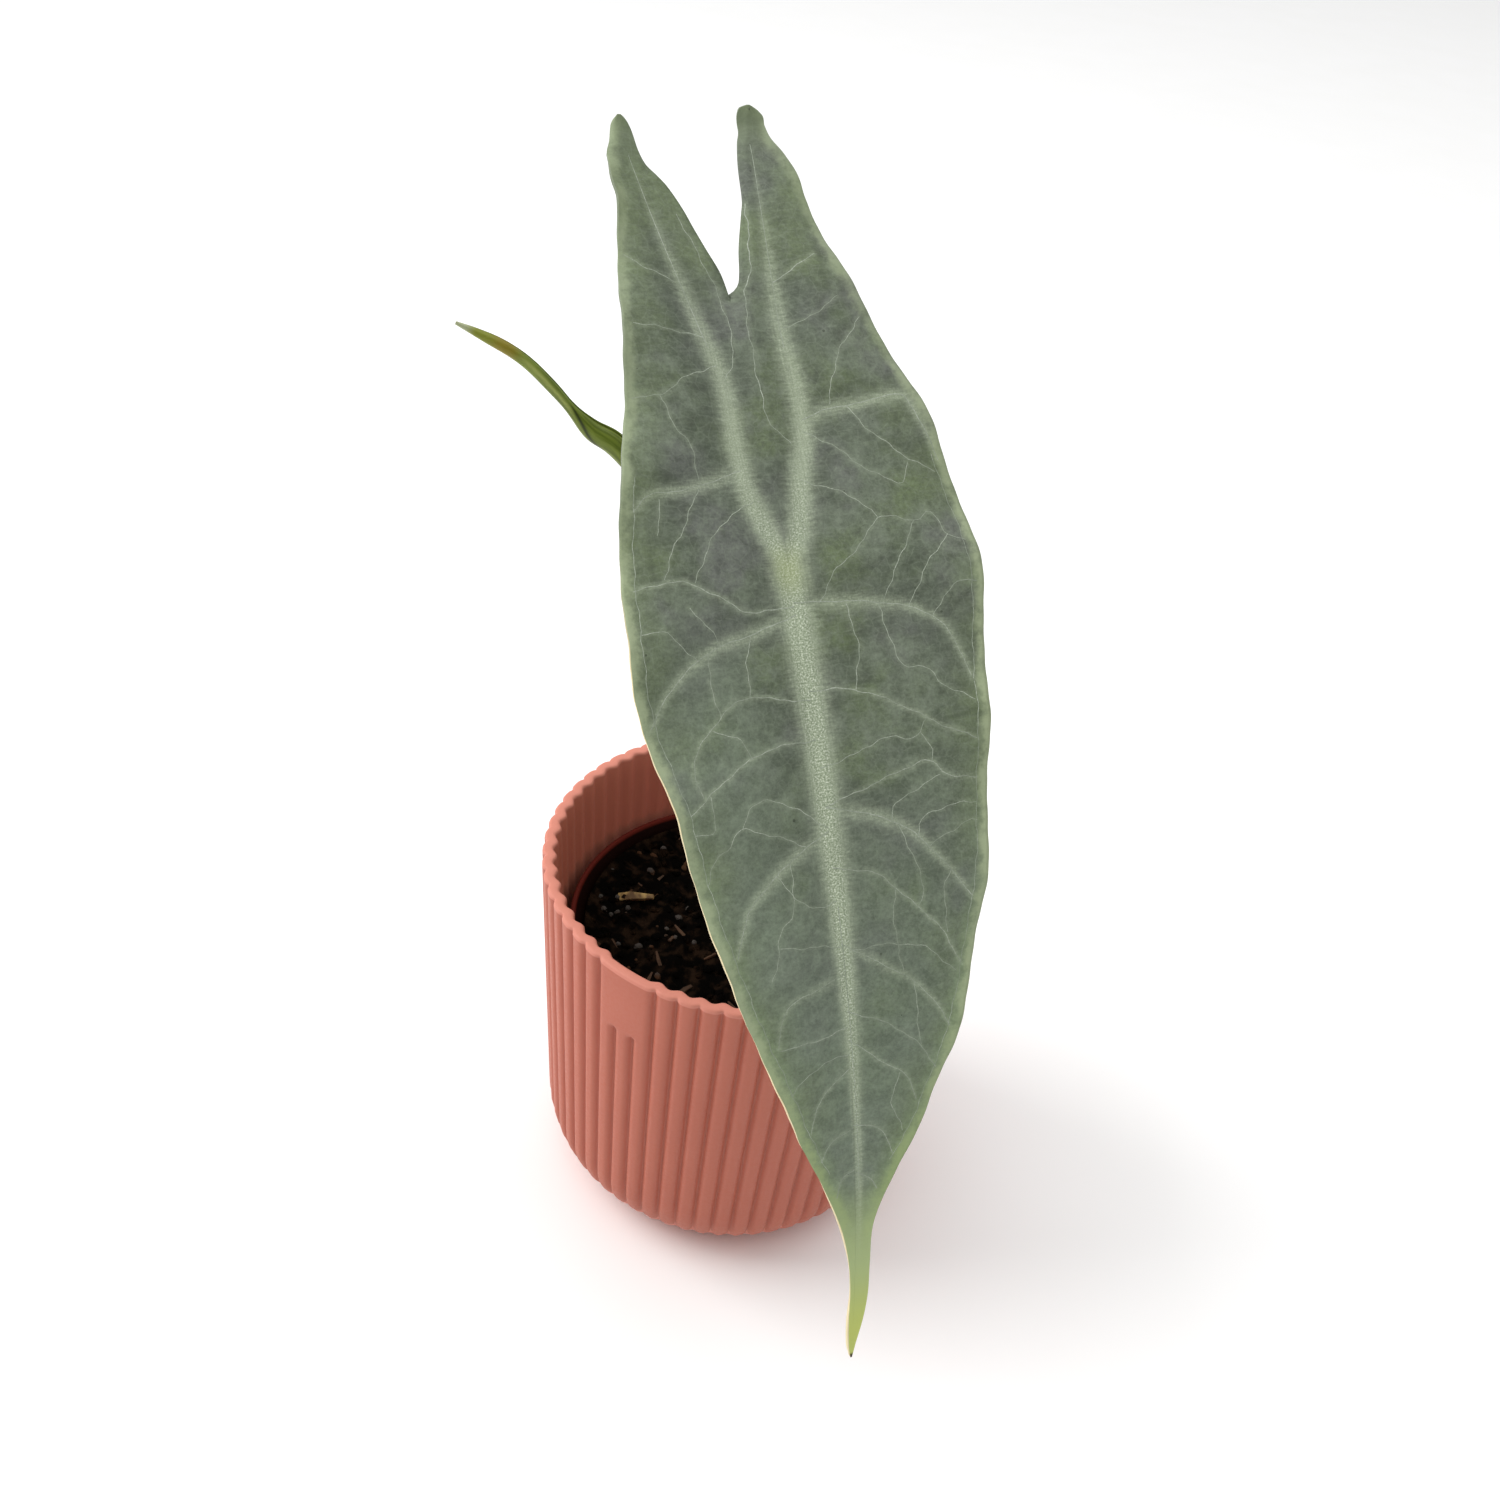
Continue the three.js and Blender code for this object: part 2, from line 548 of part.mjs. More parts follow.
// the new blade is still rolled up: its section is a spiral, whose free edge turns along the length
function newLeafBlade() {
  const curve = new THREE.CatmullRomCurve3(NEW_BLADE_ROUTE.map((p) => new THREE.Vector3(...p)));
  const length = curve.getLength();
  const radiusAt = (share, angle) => {
    const turns = (angle + Math.PI) / (2 * Math.PI);
    return 0.5 * valueAt(NEW_BLADE_WIDTHS, (1 - share) * length) * mix(0.86, 1.06, turns);
  };
  const twistAt = (share) => ROLL_TURN * share;
  return toSolid(stalk(NEW_BLADE_ROUTE, 14, 32, radiusAt, { twistAt }));
}

const plant = new THREE.Group();
plant.add(
  subpart('rootstock', rootstock(0), '#8a6f4e', 0.8),
  subpart('big_leaf_stalk', bigLeafStalk(), '#7f9a5c', 0.5),
  subpart('big_leaf_blade', bigLeafBlade(), '#7b8c78', 0.5),
  subpart('new_leaf_stalk', newStalk(0), '#8aa05a', 0.5),
  subpart('new_leaf_blade', newLeafBlade(), '#74862c', 0.45),
);

const pots = new THREE.Group();
pots.add(
  subpart('cover_pot', coverPot(), '#c87c6c', 0.5),
  subpart('nursery_pot', nurseryPot(), '#6b2c22', 0.5),
  subpart('potting_soil', pottingSoil(), '#1d1713', 0.95),
);

const pottedAlocasia = new THREE.Group();
pottedAlocasia.add(plant, pots);

export default pottedAlocasia;
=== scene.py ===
import math
import random

import bmesh
import bpy
import numpy as np
from mathutils import Matrix, Vector


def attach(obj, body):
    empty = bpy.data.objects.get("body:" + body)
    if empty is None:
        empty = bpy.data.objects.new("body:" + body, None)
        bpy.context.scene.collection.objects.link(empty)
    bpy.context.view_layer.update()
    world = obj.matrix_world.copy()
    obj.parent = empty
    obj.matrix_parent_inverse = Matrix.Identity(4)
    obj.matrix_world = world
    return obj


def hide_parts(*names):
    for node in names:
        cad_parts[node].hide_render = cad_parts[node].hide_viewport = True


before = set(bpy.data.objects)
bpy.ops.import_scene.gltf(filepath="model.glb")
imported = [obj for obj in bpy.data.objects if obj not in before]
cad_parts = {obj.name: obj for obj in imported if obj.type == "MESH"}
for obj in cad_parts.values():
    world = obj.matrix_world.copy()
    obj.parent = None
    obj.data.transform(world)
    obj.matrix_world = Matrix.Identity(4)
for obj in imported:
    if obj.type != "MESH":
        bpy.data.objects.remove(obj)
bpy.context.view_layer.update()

# Potted silver alocasia: one hanging arrow-shaped leaf and a rolled new leaf, in a nursery pot that
# stands in a ribbed pink cover pot. Every piece is modelled in millimetres, +Z up, from the middle of
# the cover pot's base, and brought to metres when it is finished.


# Studio: a plain white floor under a wide soft lamp, with a small one far to the left of the plant.
# The camera looks down at 36.6 degrees and leans 8 degrees to one side.

MM = 0.001
LOOK_DOWN = math.radians(36.6)
LEAN = math.radians(8.06)
LOOK_AT = Vector((-5.08, 0, 111.7)) * MM
LOOK_FROM = 296.9 * MM
SENSOR = 36
LENS = 36
NEAREST_SEEN = 0.01
SKY_LIGHT = 0.36
# each lamp's place and size in metres and its power in watts, and what the lamps point at
LAMPS = [((-0.9, 0.05, 0.75), 0.7, 9), ((0, 0.3, 3.5), 6, 145)]
LIT = Vector((0, 0, 0.1))
FLOOR_SIZE = 8

scene = bpy.context.scene
scene.view_settings.view_transform = "Standard"

forward = Vector((0, math.cos(LOOK_DOWN), -math.sin(LOOK_DOWN)))
level = Vector((1, 0, 0))
upright = Vector((0, math.sin(LOOK_DOWN), math.cos(LOOK_DOWN)))
right = level * math.cos(LEAN) + upright * math.sin(LEAN)
up = upright * math.cos(LEAN) - level * math.sin(LEAN)
bpy.ops.object.camera_add()
camera = bpy.context.active_object
turn = Matrix((right, up, -forward)).transposed()
camera.matrix_world = Matrix.Translation(LOOK_AT - forward * LOOK_FROM) @ turn.to_4x4()
camera.data.sensor_width = SENSOR
camera.data.lens = LENS
camera.data.clip_start = NEAREST_SEEN
scene.camera = camera

soft_studio = bpy.data.worlds.new("soft_studio")
soft_studio.use_nodes = True
soft_studio.node_tree.nodes["Background"].inputs["Color"].default_value = (1, 1, 1, 1)
soft_studio.node_tree.nodes["Background"].inputs["Strength"].default_value = SKY_LIGHT
scene.world = soft_studio

for lamp_place, lamp_size, lamp_power in LAMPS:
    bpy.ops.object.light_add(type="AREA", location=lamp_place)
    lamp = bpy.context.active_object
    lamp.data.size = lamp_size
    lamp.data.energy = lamp_power
    lamp.rotation_euler = (LIT - lamp.location).to_track_quat("-Z", "Y").to_euler()


def linear(red, green, blue):
    """a colour as the eye names it, 0 to 255, in the shader's own scale"""
    shares = (value / 255 for value in (red, green, blue))
    return (*(s / 12.92 if s < 0.04045 else ((s + 0.055) / 1.055) ** 2.4 for s in shares), 1)


def wire(tree, kind, sockets=(), **settings):
    """adds a shader node, and fills its sockets with numbers, colours or other nodes' outputs"""
    made = tree.nodes.new("ShaderNode" + kind)
    for name, value in settings.items():
        setattr(made, name, value)
    for socket, value in dict(sockets).items():
        if isinstance(value, bpy.types.NodeSocket):
            tree.links.new(value, made.inputs[socket])
        else:
            made.inputs[socket].default_value = value
    return made


def tint(tree, share, first, second, blend="MIX"):
    """mixes two colours of the shader"""
    sockets = {0: share, 6: first, 7: second}
    return wire(tree, "Mix", sockets, data_type="RGBA", blend_type=blend).outputs[2]


def speckle(tree, place, per_mm, detail=2.0, stretch=(1, 1, 1)):
    """an even noise, its size given in grains to the millimetre"""
    size = tuple(per_mm / MM * s for s in stretch)
    placed = wire(tree, "Mapping", {"Vector": place, "Scale": size}).outputs[0]
    return wire(tree, "TexNoise", {"Vector": placed, "Scale": 1, "Detail": detail}).outputs[0]


def start_material(name, roughness, gloss=0.5):
    """a new material: its node tree, its shader and the place on the piece"""
    material = bpy.data.materials.new(name)
    material.use_nodes = True
    tree = material.node_tree
    shader = tree.nodes["Principled BSDF"]
    shader.inputs["Roughness"].default_value = roughness
    shader.inputs["Specular IOR Level"].default_value = gloss
    return material, tree, shader, wire(tree, "TexCoord").outputs["Object"]


def paint(tree, shader, colour):
    """gives the shader its colour"""
    tree.links.new(colour, shader.inputs["Base Color"])


def add(operator, name, **sizes):
    """adds a primitive under a name, with nothing else selected"""
    bpy.ops.object.select_all(action="DESELECT")
    operator(**sizes)
    piece = bpy.context.active_object
    piece.name = name
    return piece


floor_paint, tree, shader, place = start_material("pale_floor", 0.9, 0.1)
paint(tree, shader, tint(tree, speckle(tree, place, 0.02), linear(249, 249, 248), linear(252, 252, 252)))
floor = add(bpy.ops.mesh.primitive_plane_add, "floor", size=FLOOR_SIZE)
floor.data.materials.append(floor_paint)


# Cover pot: a cup of matte pink plastic, moulded in one shot with its wall folded into 62 even ribs.
# The ribs stop below a bare panel under the rim, and the thick lip follows them inside and outside.

POT_RADIUS = 45
POT_HEIGHT = 84
POT_WALL = 2.4
POT_FLOOR = 3
POT_FLOOR_RING = 12
POT_TAPER = math.tan(math.radians(3.2))
POT_CORNER = 18
CORNER_STEPS = 10
LIP_ROUND = 0.8
LIP_STEPS = 4
RIB_COUNT = 62
RIB_DEPTH = 1.3
POINTS_PER_RIB = 12
FIRST_GROOVE = math.radians(190.3)
GROOVE_SHARPNESS = 1.8
SKIN_DEPTH = 1.9
PANEL_GROOVES = (8, 9)
PANEL_BOTTOM = 67.5
# heights of the wall's rings; the panel's are told from its bottom edge, which a groove ends at
LOWER_RINGS = (26, 34, 42, 50, 58, 64)
PANEL_RINGS = (-1.2, -0.6, 0, 0.6, 1.2)
UPPER_RINGS = (73, 78)
INNER_RINGS = (58, 48, 38, 28)
GROOVE_END = 0.5
GROOVE_END_FOLD = 0.4
# the folds start above the foot, deepen by a fifth with each step up, and are full from FOLD_FULL
FOLD_MARGIN = 0.5
FOLD_FOOT = 3
FOLD_STEP = 3
FOLD_START = 4
FOLD_FULL = 15
INNER_FOLD = 0.6
# how far below the top edge, in lip radii, and the share of the fold above that
LIP_FOLDS = [(0.45, 0.4), (1.1, 0.6)]
# heights over which the top of the lip is painted a lighter pink: painted light, as if lit from above
LIP_PAINTED_LIGHT = (POT_HEIGHT - 0.95, POT_HEIGHT - 0.6)


def select_only(piece):
    """makes the piece the only one selected, and the active one"""
    bpy.ops.object.select_all(action="DESELECT")
    piece.select_set(True)
    bpy.context.view_layer.objects.active = piece


def settle():
    """gives the place, turn and size of what is selected to its mesh"""
    bpy.ops.object.transform_apply(location=True, rotation=True, scale=True)


def open_editing():
    """opens the active piece for editing, with all its vertices selected"""
    bpy.ops.object.mode_set(mode="EDIT")
    bpy.ops.mesh.select_mode(type="VERT")
    bpy.ops.mesh.select_all(action="SELECT")


def start_disc(name, sides, radius, height, turn=0.0):
    """a flat disc, open for editing"""
    disc = add(
        bpy.ops.mesh.primitive_circle_add, name, vertices=sides, radius=radius, fill_type="NGON",
        location=(0, 0, height), rotation=(0, 0, turn),
    )
    settle()
    open_editing()
    return disc


def raise_wall(profile):
    """extrudes the selected face ring by ring through (radius, height) pairs; the first is where it is"""
    for (radius, height), (next_radius, next_height) in zip(profile, profile[1:]):
        rise = (0, 0, next_height - height)
        bpy.ops.mesh.extrude_region_move(
            TRANSFORM_OT_translate={"value": rise, "orient_type": "GLOBAL"}
        )
        share = next_radius / radius
        bpy.ops.transform.resize(value=(share, share, 1), center_override=(0, 0, 0))


def pick(piece, wanted):
    """selects the vertices of the open piece that are wanted"""
    shell = bmesh.from_edit_mesh(piece.data)
    for vertex in shell.verts:
        vertex.select = wanted(vertex)
    shell.select_flush_mode()
    bmesh.update_edit_mesh(piece.data)


def close_editing():
    """merges doubles, turns every face outwards and leaves edit mode"""
    bpy.ops.mesh.select_all(action="SELECT")
    bpy.ops.mesh.remove_doubles(threshold=0.0005)
    bpy.ops.mesh.normals_make_consistent(inside=False)
    bpy.ops.object.mode_set(mode="OBJECT")


def finish_piece(piece, slot, *stands_for):
    """brings a piece to metres, hangs it on the plant and hides the nodes it replaces; slot is not used"""
    select_only(piece)
    piece.scale = (MM, MM, MM)
    settle()
    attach(piece, "root")
    if stands_for:
        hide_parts(*stands_for)


def pot_radius_at(height):
    return POT_RADIUS - (POT_HEIGHT - height) * POT_TAPER


corner_x = pot_radius_at(POT_CORNER) - POT_CORNER
hollow = POT_CORNER - POT_WALL
quarter = [math.pi / 2 * k / CORNER_STEPS for k in range(CORNER_STEPS + 1)]
outside = [(corner_x + POT_CORNER * math.sin(a), POT_CORNER * (1 - math.cos(a))) for a in quarter]
rings = [*LOWER_RINGS, *(PANEL_BOTTOM + d for d in PANEL_RINGS), *UPPER_RINGS]
rings += [POT_HEIGHT - 2 * LIP_ROUND, POT_HEIGHT - LIP_ROUND]
outside += [(pot_radius_at(z), z) for z in rings]
inner_x = POT_RADIUS - POT_WALL
for k in range(1, LIP_STEPS + 1):
    a = math.pi / 2 * k / LIP_STEPS
    outside += [(POT_RADIUS - LIP_ROUND * (1 - math.cos(a)), POT_HEIGHT - LIP_ROUND * (1 - math.sin(a)))]
inside = []
for k in range(LIP_STEPS + 1):
    a = math.pi / 2 * k / LIP_STEPS
    inside += [(inner_x + LIP_ROUND * (1 - math.sin(a)), POT_HEIGHT - LIP_ROUND * (1 - math.cos(a)))]
rings = [*UPPER_RINGS[::-1], *(PANEL_BOTTOM - d for d in PANEL_RINGS), *INNER_RINGS]
inside += [(pot_radius_at(z) - POT_WALL, z) for z in rings]
inside += [
    (corner_x + hollow * math.cos(a), POT_CORNER - (POT_CORNER - POT_FLOOR) * math.sin(a))
    for a in quarter[:-1]
]
inside += [(corner_x, POT_FLOOR), (POT_FLOOR_RING, POT_FLOOR)]

sides = RIB_COUNT * POINTS_PER_RIB
cover_pot = start_disc("ribbed_cover_pot", sides, corner_x, 0, FIRST_GROOVE - math.pi / 2)
raise_wall(outside + inside)


def groove_of(co):
    """the nearest groove, and how far it is, in steps of the ring's points"""
    turns = (math.atan2(co.y, co.x) - FIRST_GROOVE) * RIB_COUNT / (2 * math.pi)
    nearest = round(turns)
    return nearest % RIB_COUNT, round(abs(turns - nearest) * POINTS_PER_RIB)


def in_skin(co):
    """whether a place is on the outer side of the wall"""
    return co.xy.length > pot_radius_at(co.z) - SKIN_DEPTH


def fold_share(co):
    """how much of its full depth a groove has at a place on the wall"""
    if co.xy.length < corner_x + FOLD_MARGIN or co.z < FOLD_START:
        return 0
    if co.z < FOLD_FULL:
        return 0.2 * math.ceil((co.z - FOLD_FOOT) / FOLD_STEP)
    if groove_of(co)[0] in PANEL_GROOVES and co.z > PANEL_BOTTOM - GROOVE_END:
        return GROOVE_END_FOLD if co.z < PANEL_BOTTOM + GROOVE_END else 0
    if not in_skin(co):
        return INNER_FOLD
    for depth, share in LIP_FOLDS:
        if POT_HEIGHT - co.z < depth * LIP_ROUND:
            return share
    return 1


def fold_depth(co):
    """how far a place on the wall is pushed in: a crease on the outside, a soft wave on the inside"""
    turn = math.pi * groove_of(co)[1] / POINTS_PER_RIB
    fold = (1 - math.sin(turn)) ** GROOVE_SHARPNESS if in_skin(co) else math.cos(turn) ** 2
    return round(RIB_DEPTH * fold * fold_share(co), 2)


shell = bmesh.from_edit_mesh(cover_pot.data)
shell.verts.index_update()
depths = [fold_depth(vertex.co) for vertex in shell.verts]
for depth in sorted(set(depths) - {0}):
    pick(cover_pot, lambda vertex: depths[vertex.index] == depth)
    share = 1 - depth / inner_x
    bpy.ops.transform.resize(value=(share, share, 1), center_override=(0, 0, 0))
close_editing()
bpy.ops.object.shade_smooth()


def ramp(tree, value, low, high, start=0.0, end=1.0):
    """carries a number smoothly from start to end while value goes from low to high"""
    sockets = {"Value": value, 1: low, 2: high, 3: start, 4: end}
    return wire(tree, "MapRange", sockets, interpolation_type="SMOOTHSTEP").outputs[0]


def by_height(tree, place, low, high, start=0.0, end=1.0):
    """carries a number smoothly from start to end between two heights in millimetres"""
    height = wire(tree, "SeparateXYZ", {0: place}).outputs["Z"]
    return ramp(tree, height, low * MM, high * MM, start, end)


def times(tree, first, second, plus=0.0, **settings):
    """two numbers multiplied, and a third added"""
    sockets = {0: first, 1: second, 2: plus}
    return wire(tree, "Math", sockets, operation="MULTIPLY_ADD", **settings).outputs[0]


def touch_up(tree, colour, touches):
    """tints a colour again and again; a touch is the share of the new shade, and that shade"""
    for share, shade in touches:
        colour = tint(tree, share, colour, linear(*shade))
    return colour


def roughen(tree, shader, height, depth_mm, strength=1.0):
    """gives the shader a bump of the stated depth"""
    sockets = {"Height": height, "Distance": depth_mm * MM, "Strength": strength}
    tree.links.new(wire(tree, "Bump", sockets).outputs[0], shader.inputs["Normal"])


pink_plastic, tree, shader, place = start_material("moulded_pink_plastic", 0.52, 0.3)
pink = tint(tree, speckle(tree, place, 0.05, 3), linear(177, 97, 77), linear(186, 105, 84))
height = wire(tree, "SeparateXYZ", {0: place}).outputs["Z"]
level_place = wire(tree, "VectorMath", {0: place, 1: (1, 1, 0)}, operation="MULTIPLY").outputs[0]
out = wire(tree, "VectorMath", {0: level_place}, operation="LENGTH").outputs["Value"]
skin = pot_radius_at(0) - SKIN_DEPTH
# painted light: the inner face of the wall gets a lighter pink than the outer face, standing in for the
# light that falls on it
inner_wall_painted_light = ramp(tree, times(tree, height, -POT_TAPER, out), (skin + 0.1) * MM, (skin - 0.1) * MM)
pink = touch_up(tree, pink, [
    (inner_wall_painted_light, (206, 124, 104)),
    # painted light on the top of the lip
    (by_height(tree, place, *LIP_PAINTED_LIGHT), (206, 130, 112)),
])
paint(tree, shader, pink)
tree.links.new(ramp(tree, speckle(tree, place, 1.5), 0.3, 0.7, 0.44, 0.56), shader.inputs["Roughness"])
roughen(tree, shader, speckle(tree, place, 3.5, 3), 0.02, 0.5)
cover_pot.data.materials.append(pink_plastic)
finish_piece(cover_pot, "pink_plastic", "cover_pot")


# Nursery pot: a thin brown pot of glossy plastic that the plant was sold in, blown with a rolled rim
# and six drain holes. It stands loose in the cover pot.

NURSERY_RIM_Z = 66
NURSERY_RADIUS = 38.6
NURSERY_BASE_RADIUS = 24.5
NURSERY_BASE_Z = 3.3
NURSERY_WALL = 0.9
NURSERY_BEAD = 2.2
NURSERY_ROLL = 1.4
NURSERY_SIDES = 120
# the rounded foot, as steps out from the base's radius and up from its height
NURSERY_FOOT = [(-0.8, 0), (-0.2, 0.25)]
# the rolled rim, as steps out from the rim's radius and up from its top
ROLLED_RIM = [
    (-0.4, -2.1), (0, -1.8), (0, -0.5), (-0.15, -0.15), (-0.5, 0), (-0.9, -0.1), (-1.15, -0.5),
    (-1.4, -1.1),
]
# heights over which the top of the rolled rim is painted a lighter red: a painted highlight where it
# catches the light
RIM_PAINTED_HIGHLIGHT = (NURSERY_RIM_Z - 0.9, NURSERY_RIM_Z - 0.2)
NURSERY_RINGS = (20, 40, 60)
NURSERY_NECK_Z = 63.4
NURSERY_FLOOR_RING = 0.4
DRAIN_HOLES = 6
DRAIN_RADIUS = 2.6
DRAIN_CIRCLE = 15
PUNCH_DEPTH = 6


def hand_over(piece, kind, name, **settings):
    """adds one modifier with the given settings and applies it"""
    modifier = piece.modifiers.new(name, kind)
    for key, value in settings.items():
        setattr(modifier, key, value)
    select_only(piece)
    bpy.ops.object.modifier_apply(modifier=name)


def nursery_radius_at(height):
    share = (height - NURSERY_BASE_Z) / (NURSERY_RIM_Z - NURSERY_BASE_Z)
    return NURSERY_BASE_RADIUS + (NURSERY_RADIUS - NURSERY_ROLL - NURSERY_BASE_RADIUS) * share


nursery_floor = NURSERY_BASE_Z + NURSERY_WALL
wall = [(NURSERY_BASE_RADIUS + out, NURSERY_BASE_Z + rise) for out, rise in NURSERY_FOOT]
wall += [(nursery_radius_at(z), z) for z in (nursery_floor, *NURSERY_RINGS, NURSERY_RIM_Z - NURSERY_BEAD)]
wall += [(NURSERY_RADIUS + out, NURSERY_RIM_Z + rise) for out, rise in ROLLED_RIM]
inner_rings = (NURSERY_NECK_Z, *NURSERY_RINGS[::-1], nursery_floor)
wall += [(nursery_radius_at(z) - NURSERY_WALL, z) for z in inner_rings]
wall += [(NURSERY_FLOOR_RING, nursery_floor)]
nursery_pot = start_disc("nursery_pot_shell", NURSERY_SIDES, *wall[0])
raise_wall(wall)
close_editing()
for k in range(DRAIN_HOLES):
    angle = 2 * math.pi * k / DRAIN_HOLES
    spot = (DRAIN_CIRCLE * math.cos(angle), DRAIN_CIRCLE * math.sin(angle), nursery_floor)
    punch = add(
        bpy.ops.mesh.primitive_cylinder_add, "punch",
        vertices=20, radius=DRAIN_RADIUS, depth=PUNCH_DEPTH, location=spot,
    )
    hand_over(nursery_pot, "BOOLEAN", "drain", operation="DIFFERENCE", object=punch)
    bpy.data.objects.remove(punch)
bpy.ops.object.shade_smooth_by_angle(angle=math.radians(40))

brown_plastic, tree, shader, place = start_material("thin_brown_plastic", 0.5, 0.04)
streaks = speckle(tree, place, 0.1, 3, (1, 1, 0.1))
brown = tint(tree, streaks, linear(15, 5, 3), linear(24, 8, 5))
# painted highlight along the top of the rolled rim
paint(tree, shader, tint(tree, by_height(tree, place, *RIM_PAINTED_HIGHLIGHT), brown, linear(92, 33, 26)))
roughen(tree, shader, speckle(tree, place, 0.8), 0.05, 0.4)
nursery_pot.data.materials.append(brown_plastic)
finish_piece(nursery_pot, "brown_plastic", "nursery_pot")


# Potting soil: damp black peat with crumbs, bark chips and grains of perlite, pressed in lightly.
# It fills the nursery pot to just under the rim.

SOIL_TOP_Z = 63.2
SOIL_FOOT_Z = 4.5
SOIL_GAP = 0.35
SOIL_BULGE_Z = 30
SOIL_SHOULDER = 1.4
SOIL_RINGS = 52
SOIL_SIDES = 128
CROWN_X = -3
CROWN_Y = 1
CROWN_CLEARANCE = 8
SCATTER_RADIUS = 34.5
SCATTER_FROM_Z = 80
SOIL_BANK_WIDTH = 7
SOIL_BANK_HEIGHT = 1.3
SWELL_HEIGHT = 0.65
CLOD_HEIGHT = 0.52
# the lumps of the surface: their width and height
SOIL_LUMPS = {"clods": (5.0, 1.1), "crumbs": (1.7, 0.9), "peat": (0.8, 0.5)}
# the grains and chips that stand out: place across and back, size and heading
PERLITE_PLACES = [
    (-21.6, 22.8, 1.5, 0), (-33, 3.9, 1.2, 1), (-29.4, 4.7, 1.3, 2), (-15.3, 0.8, 1.7, 3),
    (-15.3, -5.5, 1.3, 4), (-11.1, -6.5, 1.5, 5), (-27, -9.5, 1.2, 0), (-20, -9, 1.3, 1),
]
CHIP_SIZE = (10, 1.8, 1.1)
LONG_CHIP_PLACES = [(-26.4, 4.6, 1.1, -0.1)]
CHIP_PLACES = [
    (-11.3, -19.4, 0.6, 0.9), (-0.8, -23.6, 0.5, 2.2), (-4.9, -23, 0.45, 0.4), (-19.1, -18.6, 0.4, 1.4),
]


def soil_radius_at(height):
    return nursery_radius_at(height) - NURSERY_WALL - SOIL_GAP


soil_rim = soil_radius_at(SOIL_TOP_Z)


def soft_height(x, y):
    """the soil's own swells and hollows, and the bank against the pot's wall"""
    swell = math.sin(0.21 * x + 0.8) * math.sin(0.17 * y - 0.5)
    clods = math.sin(0.62 * x + 0.35 * y) * math.cos(0.55 * y - 0.28 * x)
    banked = max(0, math.hypot(x, y) - soil_rim + SOIL_BANK_WIDTH) / SOIL_BANK_WIDTH
    return SWELL_HEIGHT * swell + CLOD_HEIGHT * clods + SOIL_BANK_HEIGHT * banked * banked


mound = [(soil_radius_at(z), z) for z in (SOIL_FOOT_Z, SOIL_BULGE_Z)]
mound += [(soil_rim, SOIL_TOP_Z - SOIL_SHOULDER), (soil_rim, SOIL_TOP_Z + SOIL_BANK_HEIGHT)]
mound += [(soil_rim * (1 - k / SOIL_RINGS), SOIL_TOP_Z) for k in range(1, SOIL_RINGS)]
soil = start_disc("potting_soil_bed", SOIL_SIDES, *mound[0])
raise_wall(mound)
close_editing()
top = soil.vertex_groups.new(name="top")
for vertex in soil.data.vertices:
    if vertex.co.z > SOIL_TOP_Z - 0.1 and vertex.co.xy.length < soil_rim - 0.1:
        vertex.co.z += soft_height(vertex.co.x, vertex.co.y)
        top.add([vertex.index], 1, "REPLACE")
for name, (width, height) in SOIL_LUMPS.items():
    lumps = bpy.data.textures.new(name, "CLOUDS")
    lumps.noise_scale = width
    lumps.noise_depth = 1
    hand_over(
        soil, "DISPLACE", name,
        texture=lumps, strength=height, mid_level=0.55, direction="Z", vertex_group="top",
    )
bpy.ops.object.shade_smooth()

black_peat, tree, shader, place = start_material("damp_black_peat", 0.9, 0.02)
patches = ramp(tree, speckle(tree, place, 0.35, 4), 0.45, 0.72)
paint(tree, shader, tint(tree, patches, linear(4, 3, 2), linear(34, 23, 15)))
roughen(tree, shader, speckle(tree, place, 2.2, 4), 0.35, 0.8)


def scatter(name, start, count, seed, sizes, places=()):
    """copies one small piece over the soil, first to the given places, and joins the copies"""
    dice = random.Random(seed)
    copies = []
    for k in range(count):
        if k < len(places):
            x, y, size, heading = places[k]
        else:
            reach = SCATTER_RADIUS * math.sqrt(dice.random())
            angle = dice.uniform(0, 2 * math.pi)
            x, y = reach * math.cos(angle), reach * math.sin(angle)
            size, heading = dice.uniform(*sizes) * dice.uniform(0.6, 1), dice.uniform(0, 6.3)
            if math.hypot(x - CROWN_X, y - CROWN_Y) < CROWN_CLEARANCE:
                continue
        hit, spot, normal = soil.ray_cast(Vector((x, y, SCATTER_FROM_Z)), Vector((0, 0, -1)))[:3]
        if not hit:
            continue
        copy = start.copy()
        copy.data = start.data.copy()
        bpy.context.collection.objects.link(copy)
        tilt = Vector((0, 0, 1)).rotation_difference(normal).to_matrix().to_4x4()
        grow = [size * (1 if k < len(places) else dice.uniform(0.75, 1.25)) for axis in range(3)]
        copy.matrix_world = (
            Matrix.Translation(spot) @ tilt @ Matrix.Rotation(heading, 4, "Z") @ Matrix.Diagonal((*grow, 1))
        )
        copies.append(copy)
    bpy.ops.object.select_all(action="DESELECT")
    for copy in copies:
        copy.select_set(True)
    bpy.context.view_layer.objects.active = copies[0]
    settle()
    bpy.ops.object.join()
    joined = bpy.context.active_object
    joined.name = name
    bpy.data.objects.remove(start)
    return joined


def start_lump(flat, seed):
    """a knobbly little lump, one millimetre across"""
    lump = add(bpy.ops.mesh.primitive_ico_sphere_add, "lump", subdivisions=2, radius=0.5)
    open_editing()
    bpy.ops.transform.resize(value=(1, 0.8, flat))
    bpy.ops.transform.vertex_random(offset=0.09, seed=seed)
    bpy.ops.object.mode_set(mode="OBJECT")
    return lump


